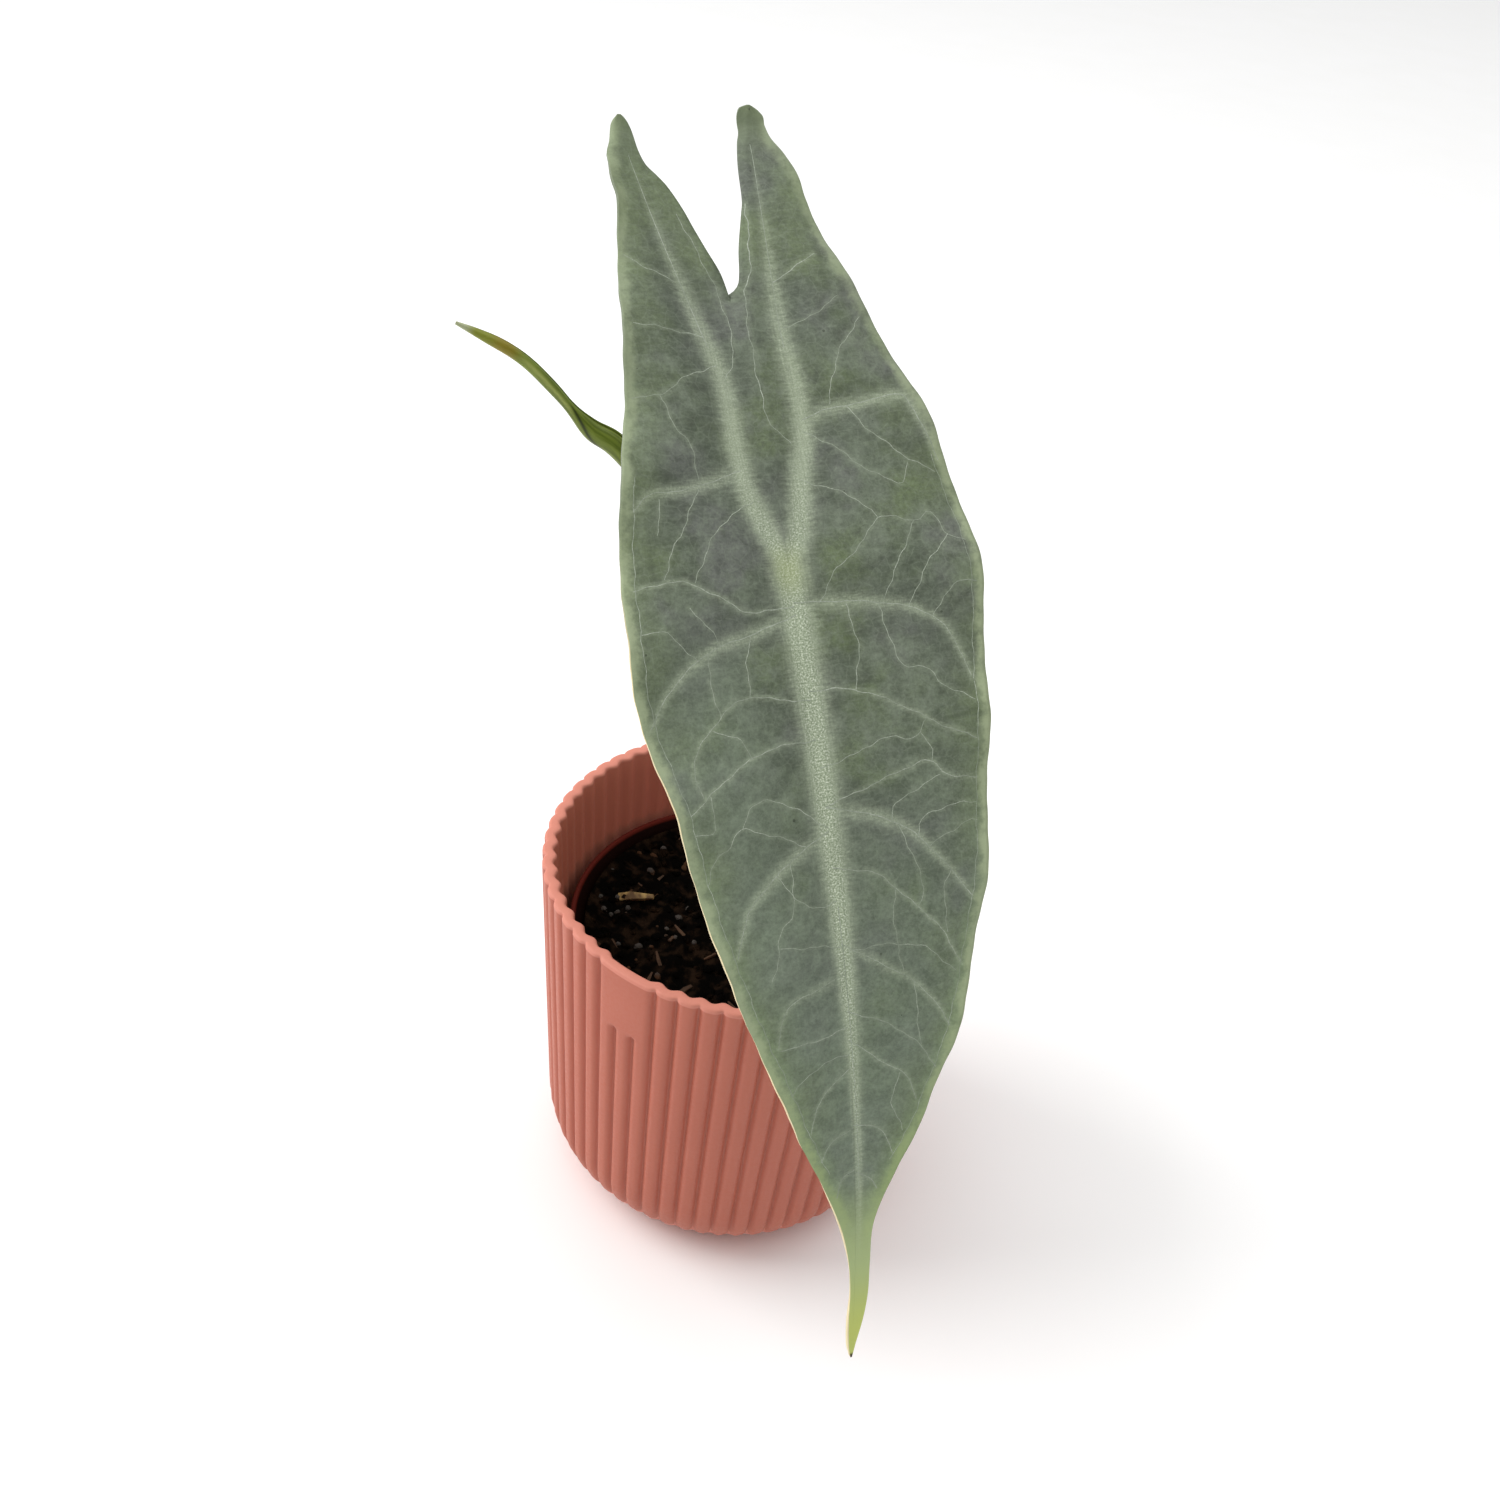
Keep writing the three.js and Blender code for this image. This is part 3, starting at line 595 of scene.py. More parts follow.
def start_chip():
    """a splinter of bark ten millimetres long, thinner at one end and a little bowed"""
    chip = add(bpy.ops.mesh.primitive_cube_add, "chip", size=1)
    chip.dimensions = CHIP_SIZE
    settle()
    open_editing()
    bpy.ops.mesh.subdivide(number_cuts=1)
    pick(chip, lambda vertex: vertex.co.x > 4)
    bpy.ops.transform.resize(value=(1, 0.5, 0.6), center_override=(0, 0, 0))
    pick(chip, lambda vertex: abs(vertex.co.x) < 1)
    bpy.ops.transform.translate(value=(0, 0.25, 0.2))
    bpy.ops.mesh.select_all(action="SELECT")
    bpy.ops.mesh.bevel(offset=0.12, segments=1, affect="EDGES")
    bpy.ops.object.mode_set(mode="OBJECT")
    return chip


crumb = start_lump(flat=0.7, seed=3)
crumbs = scatter("soil_crumbs", crumb, count=520, seed=21, sizes=(1.0, 3.0))
grain = start_lump(flat=0.8, seed=9)
perlite = scatter("perlite_grains", grain, 90, seed=8, sizes=(0.8, 2.2), places=PERLITE_PLACES)
long_chip = scatter("long_bark_chip", start_chip(), 1, seed=1, sizes=(1, 1), places=LONG_CHIP_PLACES)
chips = scatter("bark_chips", start_chip(), 60, seed=4, sizes=(0.2, 0.55), places=CHIP_PLACES)

grey_perlite, tree, shader, place = start_material("dusty_perlite", 0.9, 0.05)
dust = tint(tree, speckle(tree, place, 0.6, 3), linear(30, 25, 22), linear(86, 81, 77))
stained = ramp(tree, speckle(tree, place, 0.12, 1), 0.45, 0.55)
paint(tree, shader, tint(tree, stained, dust, linear(62, 42, 28)))
roughen(tree, shader, speckle(tree, place, 3), 0.1, 0.6)
tan_bark, tree, shader, place = start_material("tan_bark", 0.8, 0.3)
fibres = ramp(tree, speckle(tree, place, 0.4, 2), 0.35, 0.65)
paint(tree, shader, tint(tree, fibres, linear(84, 62, 38), linear(156, 128, 78)))
roughen(tree, shader, speckle(tree, place, 1.6, 3), 0.15, 0.7)
dark_bark, tree, shader, place = start_material("dark_bark", 0.8, 0.25)
paint(tree, shader, tint(tree, speckle(tree, place, 0.2, 2), linear(22, 14, 9), linear(84, 58, 38)))
roughen(tree, shader, speckle(tree, place, 1.6, 3), 0.15, 0.7)

soil.data.materials.append(black_peat)
finish_piece(soil, "soil", "potting_soil")
dressed = ((crumbs, black_peat), (perlite, grey_perlite), (long_chip, tan_bark), (chips, dark_bark))
for piece, material in dressed:
    piece.data.materials.append(material)
    finish_piece(piece, "soil")


# Rootstock: the short ringed stem that both leaf stalks grow from, brown and corky, with its roots.
# Only its crown stands clear of the soil.

CROWN_Z = 64.4
CROWN_RADIUS = 5.4
CROWN_DEPTH = 24
CROWN_SIDES = 48
SCAR_COUNT = 6
SCAR_DEPTH = 0.3
ROOT_COUNT = 5
ROOT_START = 1.5
ROOT_RISE = 4
ROOT_REACH = (13, 17)
ROOT_DROP = (19, 24)
# each root's way, as shares of its reach and its drop
ROOT_WAY = [(0.45, 0.2), (0.8, 0.55), (1, 1)]


def points_of(piece):
    """the places of a piece's points"""
    places = np.empty(len(piece.data.vertices) * 3)
    piece.data.vertices.foreach_get("co", places)
    return places.reshape(-1, 3)


def smooth_line(points, step):
    """close points along a smooth line through the given ones"""
    given = np.array(points, float)
    given = np.vstack([2 * given[0] - given[1], given, 2 * given[-1] - given[-2]])
    pieces = []
    for a, b, c, d in zip(given, given[1:], given[2:], given[3:]):
        count = max(1, round(np.linalg.norm(c - b) / step))
        t = (np.arange(count) / count)[:, None]
        pieces.append(b + 0.5 * t * (c - a + t * (2 * a - 5 * b + 4 * c - d + t * (3 * (b - c) + d - a))))
    return np.vstack([*pieces, given[-2:-1]])


def draw_line(curve, line):
    """adds a line to a curve, in straight steps"""
    spline = curve.splines.new("POLY")
    spline.points.add(len(line) - 1)
    spline.points.foreach_set("co", np.hstack([line, np.ones((len(line), 1))]).ravel())
    return spline


def bend_along(piece, line):
    """lays an upright piece along a line of points, and keeps each point's upright place for its streaks"""
    straight = piece.data.attributes.new("straight", "FLOAT_VECTOR", "POINT")
    straight.data.foreach_set("vector", points_of(piece).ravel())
    guide_line = bpy.data.curves.new("guide", "CURVE")
    guide_line.dimensions = "3D"
    draw_line(guide_line, line)
    guide = bpy.data.objects.new("guide", guide_line)
    bpy.context.collection.objects.link(guide)
    hand_over(piece, "CURVE", "bend", object=guide, deform_axis="POS_Z")
    bpy.data.objects.remove(guide)


def raise_stem(name, sides, length, radius_at, steps):
    """an upright stem; radius_at takes the share of the way up"""
    stem = start_disc(name, sides, radius_at(0), 0)
    raise_wall([(radius_at(k / steps), length * k / steps) for k in range(steps + 1)])
    close_editing()
    return stem


def line_length(line):
    return float(np.linalg.norm(np.diff(line, axis=0), axis=1).sum())


def grow_stem(name, sides, line, radius_at, steps):
    """a stem that follows a line of points"""
    stem = raise_stem(name, sides, line_length(line), radius_at, steps)
    bend_along(stem, line)
    return stem


def corm_radius(share):
    scars = SCAR_DEPTH * abs(math.sin(share * math.pi * SCAR_COUNT))
    return CROWN_RADIUS * (0.55 + 0.45 * math.sin(0.2 + share * math.pi * 0.55)) - scars


corm = raise_stem("ringed_rootstock", CROWN_SIDES, CROWN_DEPTH, corm_radius, 48)
corm.location = (CROWN_X, CROWN_Y, CROWN_Z - CROWN_DEPTH)
select_only(corm)
settle()
dice = random.Random(11)
for k in range(ROOT_COUNT):
    angle = (k + 0.4 * dice.random()) / ROOT_COUNT * 2 * math.pi
    grow, drop = dice.uniform(*ROOT_REACH), dice.uniform(*ROOT_DROP)
    route = [
        (CROWN_X + grow * a * math.cos(angle + 0.4 * a), CROWN_Y + grow * a * math.sin(angle + 0.4 * a),
         CROWN_Z - CROWN_DEPTH + ROOT_RISE - drop * b)
        for a, b in ((ROOT_START / grow, 0), *ROOT_WAY)
    ]
    root = grow_stem(f"root_{k}", 12, smooth_line(route, 1), lambda share: 0.8 - 0.45 * share, 24)
    select_only(corm)
    root.select_set(True)
    bpy.ops.object.join()
bark = bpy.data.textures.new("cork", "CLOUDS")
bark.noise_scale = 1.2
hand_over(corm, "DISPLACE", "cork", texture=bark, strength=0.35, mid_level=0.5)
bpy.ops.object.shade_smooth()

brown_cork, tree, shader, place = start_material("corky_rootstock", 0.8, 0.3)
paint(tree, shader, tint(tree, speckle(tree, place, 0.5, 4), linear(92, 66, 42), linear(168, 134, 92)))
roughen(tree, shader, speckle(tree, place, 2.0, 4), 0.2, 0.7)
corm.data.materials.append(brown_cork)
finish_piece(corm, "rootstock", "rootstock")


# Big leaf's stalk: a smooth fleshy stem, green with finer darker streaks, that thins from a sheath at
# its foot to the leaf. It grows up from the rootstock, leans forward and joins the blade at the navel.

NAVEL = np.array([-3.3, -45, 178.8])
LEAF_HEADING = math.radians(27)
SLOPE_AT_NAVEL = math.radians(45)
STALK_ROUTE = [
    (-3, 0.8, 64.2), (-3, 0.7, 69), (-3.3, -2, 85), (-4.6, -9, 112), (-6.4, -22, 142), (-6.8, -35, 163),
]
STALK_RADII = [(0, 4.9), (0.06, 4.5), (0.14, 3.5), (0.3, 2.8), (0.65, 2.1), (1, 1.9)]
UNDER_NAVEL = 2.4
STALK_NECK = 6
STALK_STEP = 0.8
PALE_FOOT = (66, 84)


def value_at(pairs, place):
    """value of a smooth curve through (place, value) pairs, for one place or an array of them"""
    stops, values = np.array(pairs, float).T
    slopes = np.empty(len(stops))
    slopes[1:-1] = (values[2:] - values[:-2]) / (stops[2:] - stops[:-2])
    slopes[0] = (values[1] - values[0]) / (stops[1] - stops[0])
    slopes[-1] = (values[-1] - values[-2]) / (stops[-1] - stops[-2])
    place = np.clip(place, stops[0], stops[-1])
    i = np.clip(np.searchsorted(stops, place) - 1, 0, len(stops) - 2)
    span = stops[i + 1] - stops[i]
    t = (place - stops[i]) / span
    blend = t * t * (3 - 2 * t)
    bend = span * t * (1 - t) * (slopes[i] * (1 - t) - slopes[i + 1] * t)
    return values[i] * (1 - blend) + values[i + 1] * blend + bend


def known(tree, name, socket="Fac"):
    """what a piece keeps under a name for each of its points"""
    return wire(tree, "Attribute", attribute_name=name).outputs[socket]


leaf_up = np.array([math.sin(LEAF_HEADING) * math.sin(SLOPE_AT_NAVEL),
                    -math.cos(LEAF_HEADING) * math.sin(SLOPE_AT_NAVEL), math.cos(SLOPE_AT_NAVEL)])
seat = NAVEL - leaf_up * UNDER_NAVEL
line = smooth_line([*STALK_ROUTE, seat - leaf_up * STALK_NECK, seat], STALK_STEP)
stalk = grow_stem("big_leaf_stem", 36, line, lambda share: float(value_at(STALK_RADII, share)), 110)
bpy.ops.object.shade_smooth()

stalk_green, tree, shader, place = start_material("fleshy_green_stalk", 0.42, 0.5)
straight = known(tree, "straight", "Vector")
streaks = ramp(tree, speckle(tree, straight, 0.9 * MM, 4, (1, 1, 0.06)), 0.38, 0.62)
green = tint(tree, streaks, linear(104, 128, 72), linear(142, 166, 104))
paint(tree, shader, tint(tree, by_height(tree, place, *PALE_FOOT), linear(150, 142, 96), green))
shader.inputs["Subsurface Weight"].default_value = 0.15
shader.inputs["Subsurface Radius"].default_value = (0.001, 0.0015, 0.0005)
roughen(tree, shader, speckle(tree, straight, 1.4 * MM, 3, (1, 1, 0.1)), 0.06, 0.5)
stalk.data.materials.append(stalk_green)
finish_piece(stalk, "stalk_green", "big_leaf_stalk")


# Big leaf's blade: one thick satin sheet, silver-green above and pale below, in the shape of an
# arrowhead. It is folded softly at the midrib, puffed between its veins and waved at the edge.

ARCH_OF_LOBES = math.radians(0.13)
ARCH_OF_BLADE = math.radians(0.245)
SINUS = -43.6
LEAF_TIP = 128.6
# each side of the outline, left (-1) and right (1): place along from the navel, and width there
MARGIN = {
    -1: [
        (-73.6, 11.5), (-73.2, 12), (-72.6, 12.4), (-72, 12.6), (-69.9, 13.2), (-67.3, 14.2),
        (-64.4, 14.6), (-61.6, 14.8), (-58.9, 14.6), (-51.4, 16.2), (-47, 17), (-35, 19), (-26, 20.5),
        (-15, 23.6), (-4, 25.7), (7, 27), (15, 27.3), (23, 26.3), (32, 24.2), (43, 22.2), (54, 19.9),
        (69, 15), (84.5, 9.5), (96, 4.7), (103, 2.3), (109, 1.1), (115, 0.7), (121, 0.8), (126, 0.55),
        (128.6, 0.14),
    ],
    1: [
        (-75, 10.7), (-74.8, 11.4), (-74.4, 12.1), (-73.6, 12.8), (-72, 12.7), (-69, 12.9), (-66, 14.4),
        (-62, 16), (-59, 16.3), (-46, 19), (-35.6, 22.5), (-25, 26.1), (-13, 28.7), (-1, 30.3),
        (8, 30.2), (22, 28), (34, 26.6), (44, 25), (58, 22.1), (71, 18), (85, 12.3), (94, 6.6),
        (102.5, 3.3), (110, 2.6), (116, 2.3), (121.5, 1.6), (126, 0.65), (128.6, 0.14),
    ],
}
SINUS_EDGE = {
    -1: [
        (-73.6, 10.8), (-73.2, 10.3), (-72.5, 9.8), (-71.2, 9.4), (-67.7, 9.1), (-65.3, 8.4),
        (-63.8, 7.2), (-61.8, 5.8), (-57.9, 4.1), (-54.7, 3.1), (-51.2, 1.9), (-47.2, 0.5), (-43.6, 0),
    ],
    1: [
        (-75, 9.2), (-74.7, 8.8), (-74, 8.5), (-71.7, 8.4), (-69.6, 7.7), (-65.4, 6.8), (-59.3, 6),
        (-57.3, 5.4), (-51.4, 3.6), (-45.5, 2.2), (-44, 0.8), (-43.6, 0),
    ],
}
LOBE_RIB = {
    -1: [
        (-73.6, 11.2), (-62, 10.2), (-53, 8.9), (-46, 7.2), (-37, 5.8), (-29, 4.7), (-18, 4.4),
        (-10, 3.4), (-3, 1.9), (4, 1.6),
    ],
    1: [
        (-75, 10), (-66, 9.4), (-58, 8.6), (-44, 7.5), (-36, 6.9), (-23, 6.7), (-13, 4.5), (-6, 2.9),
        (-1, 1.8), (4, 1.6),
    ],
}
BLADE_THICKNESS = 0.75
EDGE_THICKNESS = 0.45
MIDRIB_HEIGHT = 2.1
LOBE_RIB_HEIGHT = 1.4
LATERAL_HEIGHT = 0.8
THICKEST = BLADE_THICKNESS + MIDRIB_HEIGHT + LOBE_RIB_HEIGHT
FOLD_RISE = 0.13
FOLD_ROUND = 3
SAG = 0.0009
PUFF = 0.6
PUFF_REACH = (3.6, 3.5)
VALLEY = 0.12
VALLEY_WIDTH = 0.9
NARROW = 12
END_CURL = {-1: 0.7, 1: 1.6}
CURL_LENGTH = 3
TURNED_STRIP = 0.45
TURNED_STRIP_WIDTH = 1.3
EDGE_WAVE = 0.8
EDGE_WAVE_LENGTH = 23
LOBE_ROWS = 62
BLADE_ROWS = 330
INNER_COLUMNS = 8
OUTER_COLUMNS = 35
VEIN_STEP = 0.7
# the flat blade's pattern sheet in millimetres, and the navel's place on it as a share
SHEET = 240
SHEET_NAVEL = (0.5, 0.35)

# the main veins, then the finer ones, as places across from the midrib and along from the navel
MIDRIB = [(0, 0), (0, 40), (0.5, 75), (0.7, 100), (0, 128)]
LEFT_COSTA = [
    (0, 0), (-2.3, -6.5), (-4.4, -14), (-4.3, -29), (-6, -37.5), (-9, -53), (-10.6, -64), (-10.9, -67),
]
RIGHT_COSTA = [
    (0, 0), (3, -6), (4.6, -13), (7, -23), (6.8, -36), (7.5, -46), (8.6, -58), (9.4, -66), (9.6, -69),
]
LATERALS = [
    [(-4.4, -15.5), (-8.5, -14.3), (-14, -13), (-19.5, -12.5), (-22.7, -10.2)],
    [(6.9, -22.5), (11.4, -23.8), (17.2, -24.3), (22.9, -25), (24.8, -22.3), (27.4, -14)],
    [(0, 5), (8, 5.7), (14.6, 6.9), (20, 8.8), (23.8, 12.5), (26, 19.5)],
    [(0, 6.8), (-7, 8.8), (-15.2, 11), (-21.6, 15.4), (-25.5, 20.5)],
    [(0, 35.5), (6.5, 37.4), (12.5, 40.6), (17.5, 46.3), (21.4, 52)],
    [(0, 39), (-6.8, 42.3), (-13.2, 47), (-15.5, 50.3), (-17.2, 54.5)],
    [(0, 56), (5, 59.4), (10.9, 63.6), (14.3, 67.7), (16.2, 71.5)],
    [(0, 60.8), (-4.3, 62), (-10, 64), (-11.8, 69.7)],
    [(0, 71), (5.2, 75.5), (9.2, 78.8), (10.6, 83)],
    [(0, 75.5), (-3.6, 77.8), (-6.2, 80.7), (-7.3, 84.3)],
    [(0, 85), (4.4, 86.5), (6.3, 91)],
    [(0, 85.5), (-4, 87), (-5.7, 89.6)],
    [(0, 93), (2.4, 94.4), (3.7, 96.7)],
    [(0, 92.6), (-2.3, 93.7), (-3.2, 96.6)],
]
MIDDLE_VEINS = [
    [(7.5, -45), (11.8, -47.2), (15, -49)],
    [(0, 18.2), (6.2, 18.8), (12.4, 21.5), (19.6, 26), (25, 28.7)],
    [(0, 19.6), (-5.2, 18.9), (-10.6, 18), (-15.5, 20.6), (-20.2, 26), (-19.6, 31)],
    [(0, 25.4), (-8.2, 25.8), (-14.6, 28.4), (-21.9, 33.2)],
    [(0, 5.5), (-7.8, 5.7), (-12.7, 2.8), (-18, 0.5), (-24.8, 1.2)],
    [(0, 44.5), (6.3, 46.3), (10.7, 50.6), (15.5, 55.8), (19, 62.3)],
    [(0, 66.5), (6.2, 69.4), (11, 73.6), (13.8, 78)],
    [(0, 69), (-6.4, 69.6), (-11.5, 69.9)],
    [(0, 35.4), (6.6, 33.4), (13.8, 31.3), (16.8, 31), (20, 33.6), (24.6, 34.6)],
]
FINE_VEINS = [
    [(-8.6, -45.5), (-12.6, -47.6), (-15.5, -50)],
    [(-5.8, -36.6), (-11.6, -37.6), (-16.8, -38.5)],
    [(-4.6, -32), (-9.6, -30.3), (-15, -27.4), (-19.2, -27.2)],
    [(-15, -27.2), (-13.9, -23), (-12, -19.5), (-11.4, -14)],
    [(-11.5, -13.6), (-14.8, -8.4), (-18, -3.8), (-20, 0)],
    [(-18.4, -11.7), (-19, -8.4), (-19.8, -6.4)],
    [(-5.5, -57), (-3.7, -51), (-1.7, -42.6), (-1.5, -34), (-3.6, -30)],
    [(6.4, -58.8), (4.5, -48), (2.4, -42.5), (1.5, -35), (1.6, -23), (4.5, -19)],
    [(7.3, -37.4), (10.6, -38), (14.8, -40.3), (16.9, -41.6)],
    [(11.9, -24.5), (13, -28.5), (15.4, -33), (19.8, -38)],
    [(14.4, -24), (17, -19.5), (21.7, -15), (26.5, -12.2)],
    [(6.6, -20.8), (10.6, -18), (13.5, -15), (19.7, -11), (22, -14)],
    [(4.6, -13.4), (8.9, -11.3), (12.9, -8.9), (15.3, -6)],
    [(4, 5.4), (7.5, 0.8), (11.9, -2.3), (15.3, -6), (20.9, -5), (23.9, -5.8), (25.9, -2.3), (28.7, -1)],
    [(20.9, -4.9), (18, -0.3), (14.8, 4.7), (13.9, 6.6)],
    [(25.9, -2.2), (22, 1.5), (18.5, 6.5), (17.9, 7.9)],
    [(29.2, 5.4), (26.4, 5), (22.6, 8), (21.4, 9.6)],
    [(13, 6.6), (13.6, 11.8), (14.7, 16), (18.5, 17.3), (20.8, 20), (25.6, 23)],
    [(-3.4, -10.6), (-8.6, -8), (-11.8, -4.8), (-14, -1.5), (-15.4, 0.9)],
    [(-17, 4.4), (-14.5, 7.5), (-13, 10.2)],
    [(-25, 7.5), (-21.7, 7.5), (-18.2, 10.6), (-17, 11.8)],
    [(-15.2, 11.2), (-15.7, 15), (-15, 20.4)],
    [(0, 38.5), (-5, 35), (-8.9, 33), (-12.7, 33.7), (-14.2, 36.4)],
    [(-4, 40.6), (-8.6, 38.4), (-14.2, 36.4), (-16.5, 38.3), (-18.8, 40), (-20.2, 43.4)],
    [(-18.5, 30.9), (-18.4, 35.6), (-21.5, 36)],
    [(0, 29.6), (5.3, 28.4), (10, 26.6), (14.6, 27.2), (17.3, 24.6)],
    [(16, 26.7), (17.3, 28.7), (17.2, 31)],
    [(10, 39), (10.5, 37), (13.7, 35), (18.3, 33.2)],
    [(14, 41.7), (15.2, 39), (19.5, 38), (24, 38.2)],
    [(15.6, 43.7), (17.5, 42.5), (21.9, 40.8), (23.7, 41)],
    [(11, 39.8), (12.5, 44.6), (13.6, 50), (12.4, 52.2)],
    [(18.5, 47.6), (16.8, 51), (16.9, 57)],
    [(2, 57.3), (7.8, 57.3), (12.9, 58.6), (18, 63.3)],
    [(11.2, 64), (11, 69.3), (11.3, 73.6)],
    [(8, 77.8), (6.2, 81.5), (7.2, 85), (8, 87.5)],
    [(-7, 42.6), (-7.4, 49), (-9.9, 52), (-11, 56), (-12.3, 59)],
    [(0, 56.5), (-4.9, 55.4), (-10.4, 54.4)],
    [(0, 73.3), (-4.6, 73.4), (-8, 75), (-10.4, 77)],
    [(-10, 18), (-9.4, 13), (-8, 9.2)],
    [(-16.5, 22), (-12.5, 24), (-11, 26.8)],
    [(7, 19), (8.4, 13), (8, 6)],
    [(0, 49.5), (-5, 49.4), (-9.5, 44)],
    [(9, 49), (8.4, 55), (9.6, 62)],
]


def smooth_step(value, low, high):
    t = np.clip((value - low) / (high - low), 0, 1)
    return t * t * (3 - 2 * t)


def bell(distance, width, power=2):
    """1 on a line, fading away past about one width from it"""
    return np.exp(-((distance / width) ** power))


def ragged(pairs, place):
    """an outline's curve with the small bumps that a leaf's edge has"""
    bumps = 0.07 * np.sin(0.53 * place + pairs[3][1]) + 0.04 * np.sin(1.27 * place + 2 * pairs[3][1])
    fade = smooth_step(place, pairs[0][0] + 2, pairs[0][0] + 8) * smooth_step(pairs[-1][0] - place, 20, 50)
    return value_at(pairs, place) + bumps * fade


def reach(lines, across, along):
    """how far each place on the flat blade is from the nearest of the lines"""
    nearest = np.full(np.shape(across), 1e3)
    for line in lines:
        for (u, s), (next_u, next_s) in zip(line, line[1:]):
            du, ds = next_u - u, next_s - s
            t = np.clip(((across - u) * du + (along - s) * ds) / (du * du + ds * ds), 0, 1)
            nearest = np.minimum(nearest, np.hypot(across - u - t * du, along - s - t * ds))
    return nearest


def wander(line, swing, seed):
    """a smooth line that strays a little to either side, as a vein does"""
    line = smooth_line(line, VEIN_STEP)
    ahead = np.gradient(line, axis=0)
    beside = np.stack([-ahead[:, 1], ahead[:, 0]], 1) / np.linalg.norm(ahead, axis=1)[:, None]
    length = np.hstack([0, np.cumsum(np.linalg.norm(np.diff(line, axis=0), axis=1))])
    stray = np.sin(0.9 * length + seed) + 0.6 * np.sin(2.3 * length + 2.3 * seed)
    ends = np.minimum(1, np.minimum(length, length[-1] - length) / 1.5)
    return line + beside * (swing * stray * ends)[:, None]


def edge_lines(side):
    """one side's outline on the flat blade: its margin, its edge at the sinus and the lobe's end"""
    lines = []
    for edge, last, count in ((MARGIN[side], LEAF_TIP, 260), (SINUS_EDGE[side], SINUS, 60)):
        stations = np.linspace(edge[0][0], last, count)
        lines.append(np.stack([side * ragged(edge, stations), stations], 1))
    return [*lines, np.stack([lines[1][0], lines[0][0]])]


edges = {side: edge_lines(side) for side in (-1, 1)}
spines = [smooth_line(line, 2) for line in (MIDRIB, LEFT_COSTA, RIGHT_COSTA)]
laterals = [wander(line, 0.07, k) for k, line in enumerate(LATERALS)]
middle_veins = [wander(line, 0.12, k) for k, line in enumerate(MIDDLE_VEINS)]
fine_veins = [wander(line, 0.17, k) for k, line in enumerate(FINE_VEINS)]
# for each group of veins, from its start to its end, how wide its pale band is and how strong
BANDS = [
    ([spines[0]], [(0, 2.9), (0.3, 2.35), (0.5, 1.5), (0.62, 1), (0.8, 0.55), (1, 0.4)],
     [(0, 0.92), (0.4, 0.93), (0.6, 0.8), (0.8, 0.5), (1, 0.15)]),
    (spines[1:], [(0, 2.2), (0.3, 1.9), (0.6, 1.5), (0.78, 0.8), (1, 0.3)],
     [(0, 0.85), (0.35, 0.72), (0.6, 0.52), (0.78, 0.34), (1, 0)]),
    (laterals, [(0, 1.5), (0.4, 1.1), (1, 0.5)], [(0, 0.45), (0.4, 0.52), (1, 0.42)]),
    (middle_veins, [(0, 0.5), (1, 0.4)], [(0, 0.22), (0.5, 0.34), (1, 0.34)]),
    (fine_veins, [(0, 0.35), (1, 0.3)], [(0, 0.18), (1, 0.18)]),
]


def pale_bands(across, along):
    """how pale the veins make each place on the flat blade, from 0 to 1"""
    pale = np.zeros(np.shape(across))
    for lines, widths, strengths in BANDS:
        for line in lines:
            slim = 1 - 0.65 * smooth_step(line[0][1], 35, 80)
            for k in range(len(line) - 1):
                share = k / max(1, len(line) - 2)
                width = slim * float(value_at(widths, share))
                far = reach([line[k:k + 2]], across, along)
                strength = float(value_at(strengths, share)) * (1 if width > 2 else 0.2 + 0.8 * slim)
                pale = np.maximum(pale, strength * bell(far, width, 2.6 if width > 1.4 else 2))
    return pale


def rib_at(side, along):
    """how far out the lobe's rib runs, held to a third of the half's width past the navel"""
    rib = value_at(LOBE_RIB[side], along)
    return np.where(along > 0, np.minimum(rib, 0.35 * value_at(MARGIN[side], along)), rib)


def blade_height(side, out, along, far_main, far_edge):
    """how high the upper face stands over the midrib's arch"""
    width = value_at(MARGIN[side], along)
    rib_out = rib_at(side, along)
    spread = np.clip((out - rib_out) / np.maximum(width - rib_out, 0.3), 0, 1)
    tip_fade = np.minimum(1, width / NARROW)
    rise = FOLD_RISE * (np.hypot(out, FOLD_ROUND) - FOLD_ROUND) - SAG * out**2
    wave = EDGE_WAVE * spread**4 * np.sin(2 * math.pi * along / EDGE_WAVE_LENGTH + side)
    puff = PUFF * (1 - bell(far_main, PUFF_REACH[0])) * (1 - bell(far_edge, PUFF_REACH[1]))
    valley = VALLEY * bell(far_main, VALLEY_WIDTH)
    from_curl = MARGIN[side][0][0] + CURL_LENGTH - along
    end_curl = END_CURL[side] * np.clip(from_curl / CURL_LENGTH, 0, 1) ** 2
    far_sinus = reach(edges[side][1:2], side * out, along)
    strip = TURNED_STRIP * np.clip(1 - far_sinus / TURNED_STRIP_WIDTH, 0, 1) * (side > 0)
    return rise + tip_fade * (wave + puff - valley) + end_curl - strip


def blade_place(across, along, height):
    """place in the room of a point on the flat blade"""
    arch = np.where(along < 0, ARCH_OF_LOBES, ARCH_OF_BLADE)
    slope = SLOPE_AT_NAVEL + arch * along
    ahead = (np.sin(slope) - math.sin(SLOPE_AT_NAVEL)) / arch + height * np.sin(slope)
    down = (math.cos(SLOPE_AT_NAVEL) - np.cos(slope)) / arch - height * np.cos(slope)
    x = NAVEL[0] + math.sin(LEAF_HEADING) * ahead + math.cos(LEAF_HEADING) * across
    y = NAVEL[1] - math.cos(LEAF_HEADING) * ahead + math.sin(LEAF_HEADING) * across
    return np.stack([x, y, NAVEL[2] - down], -1)


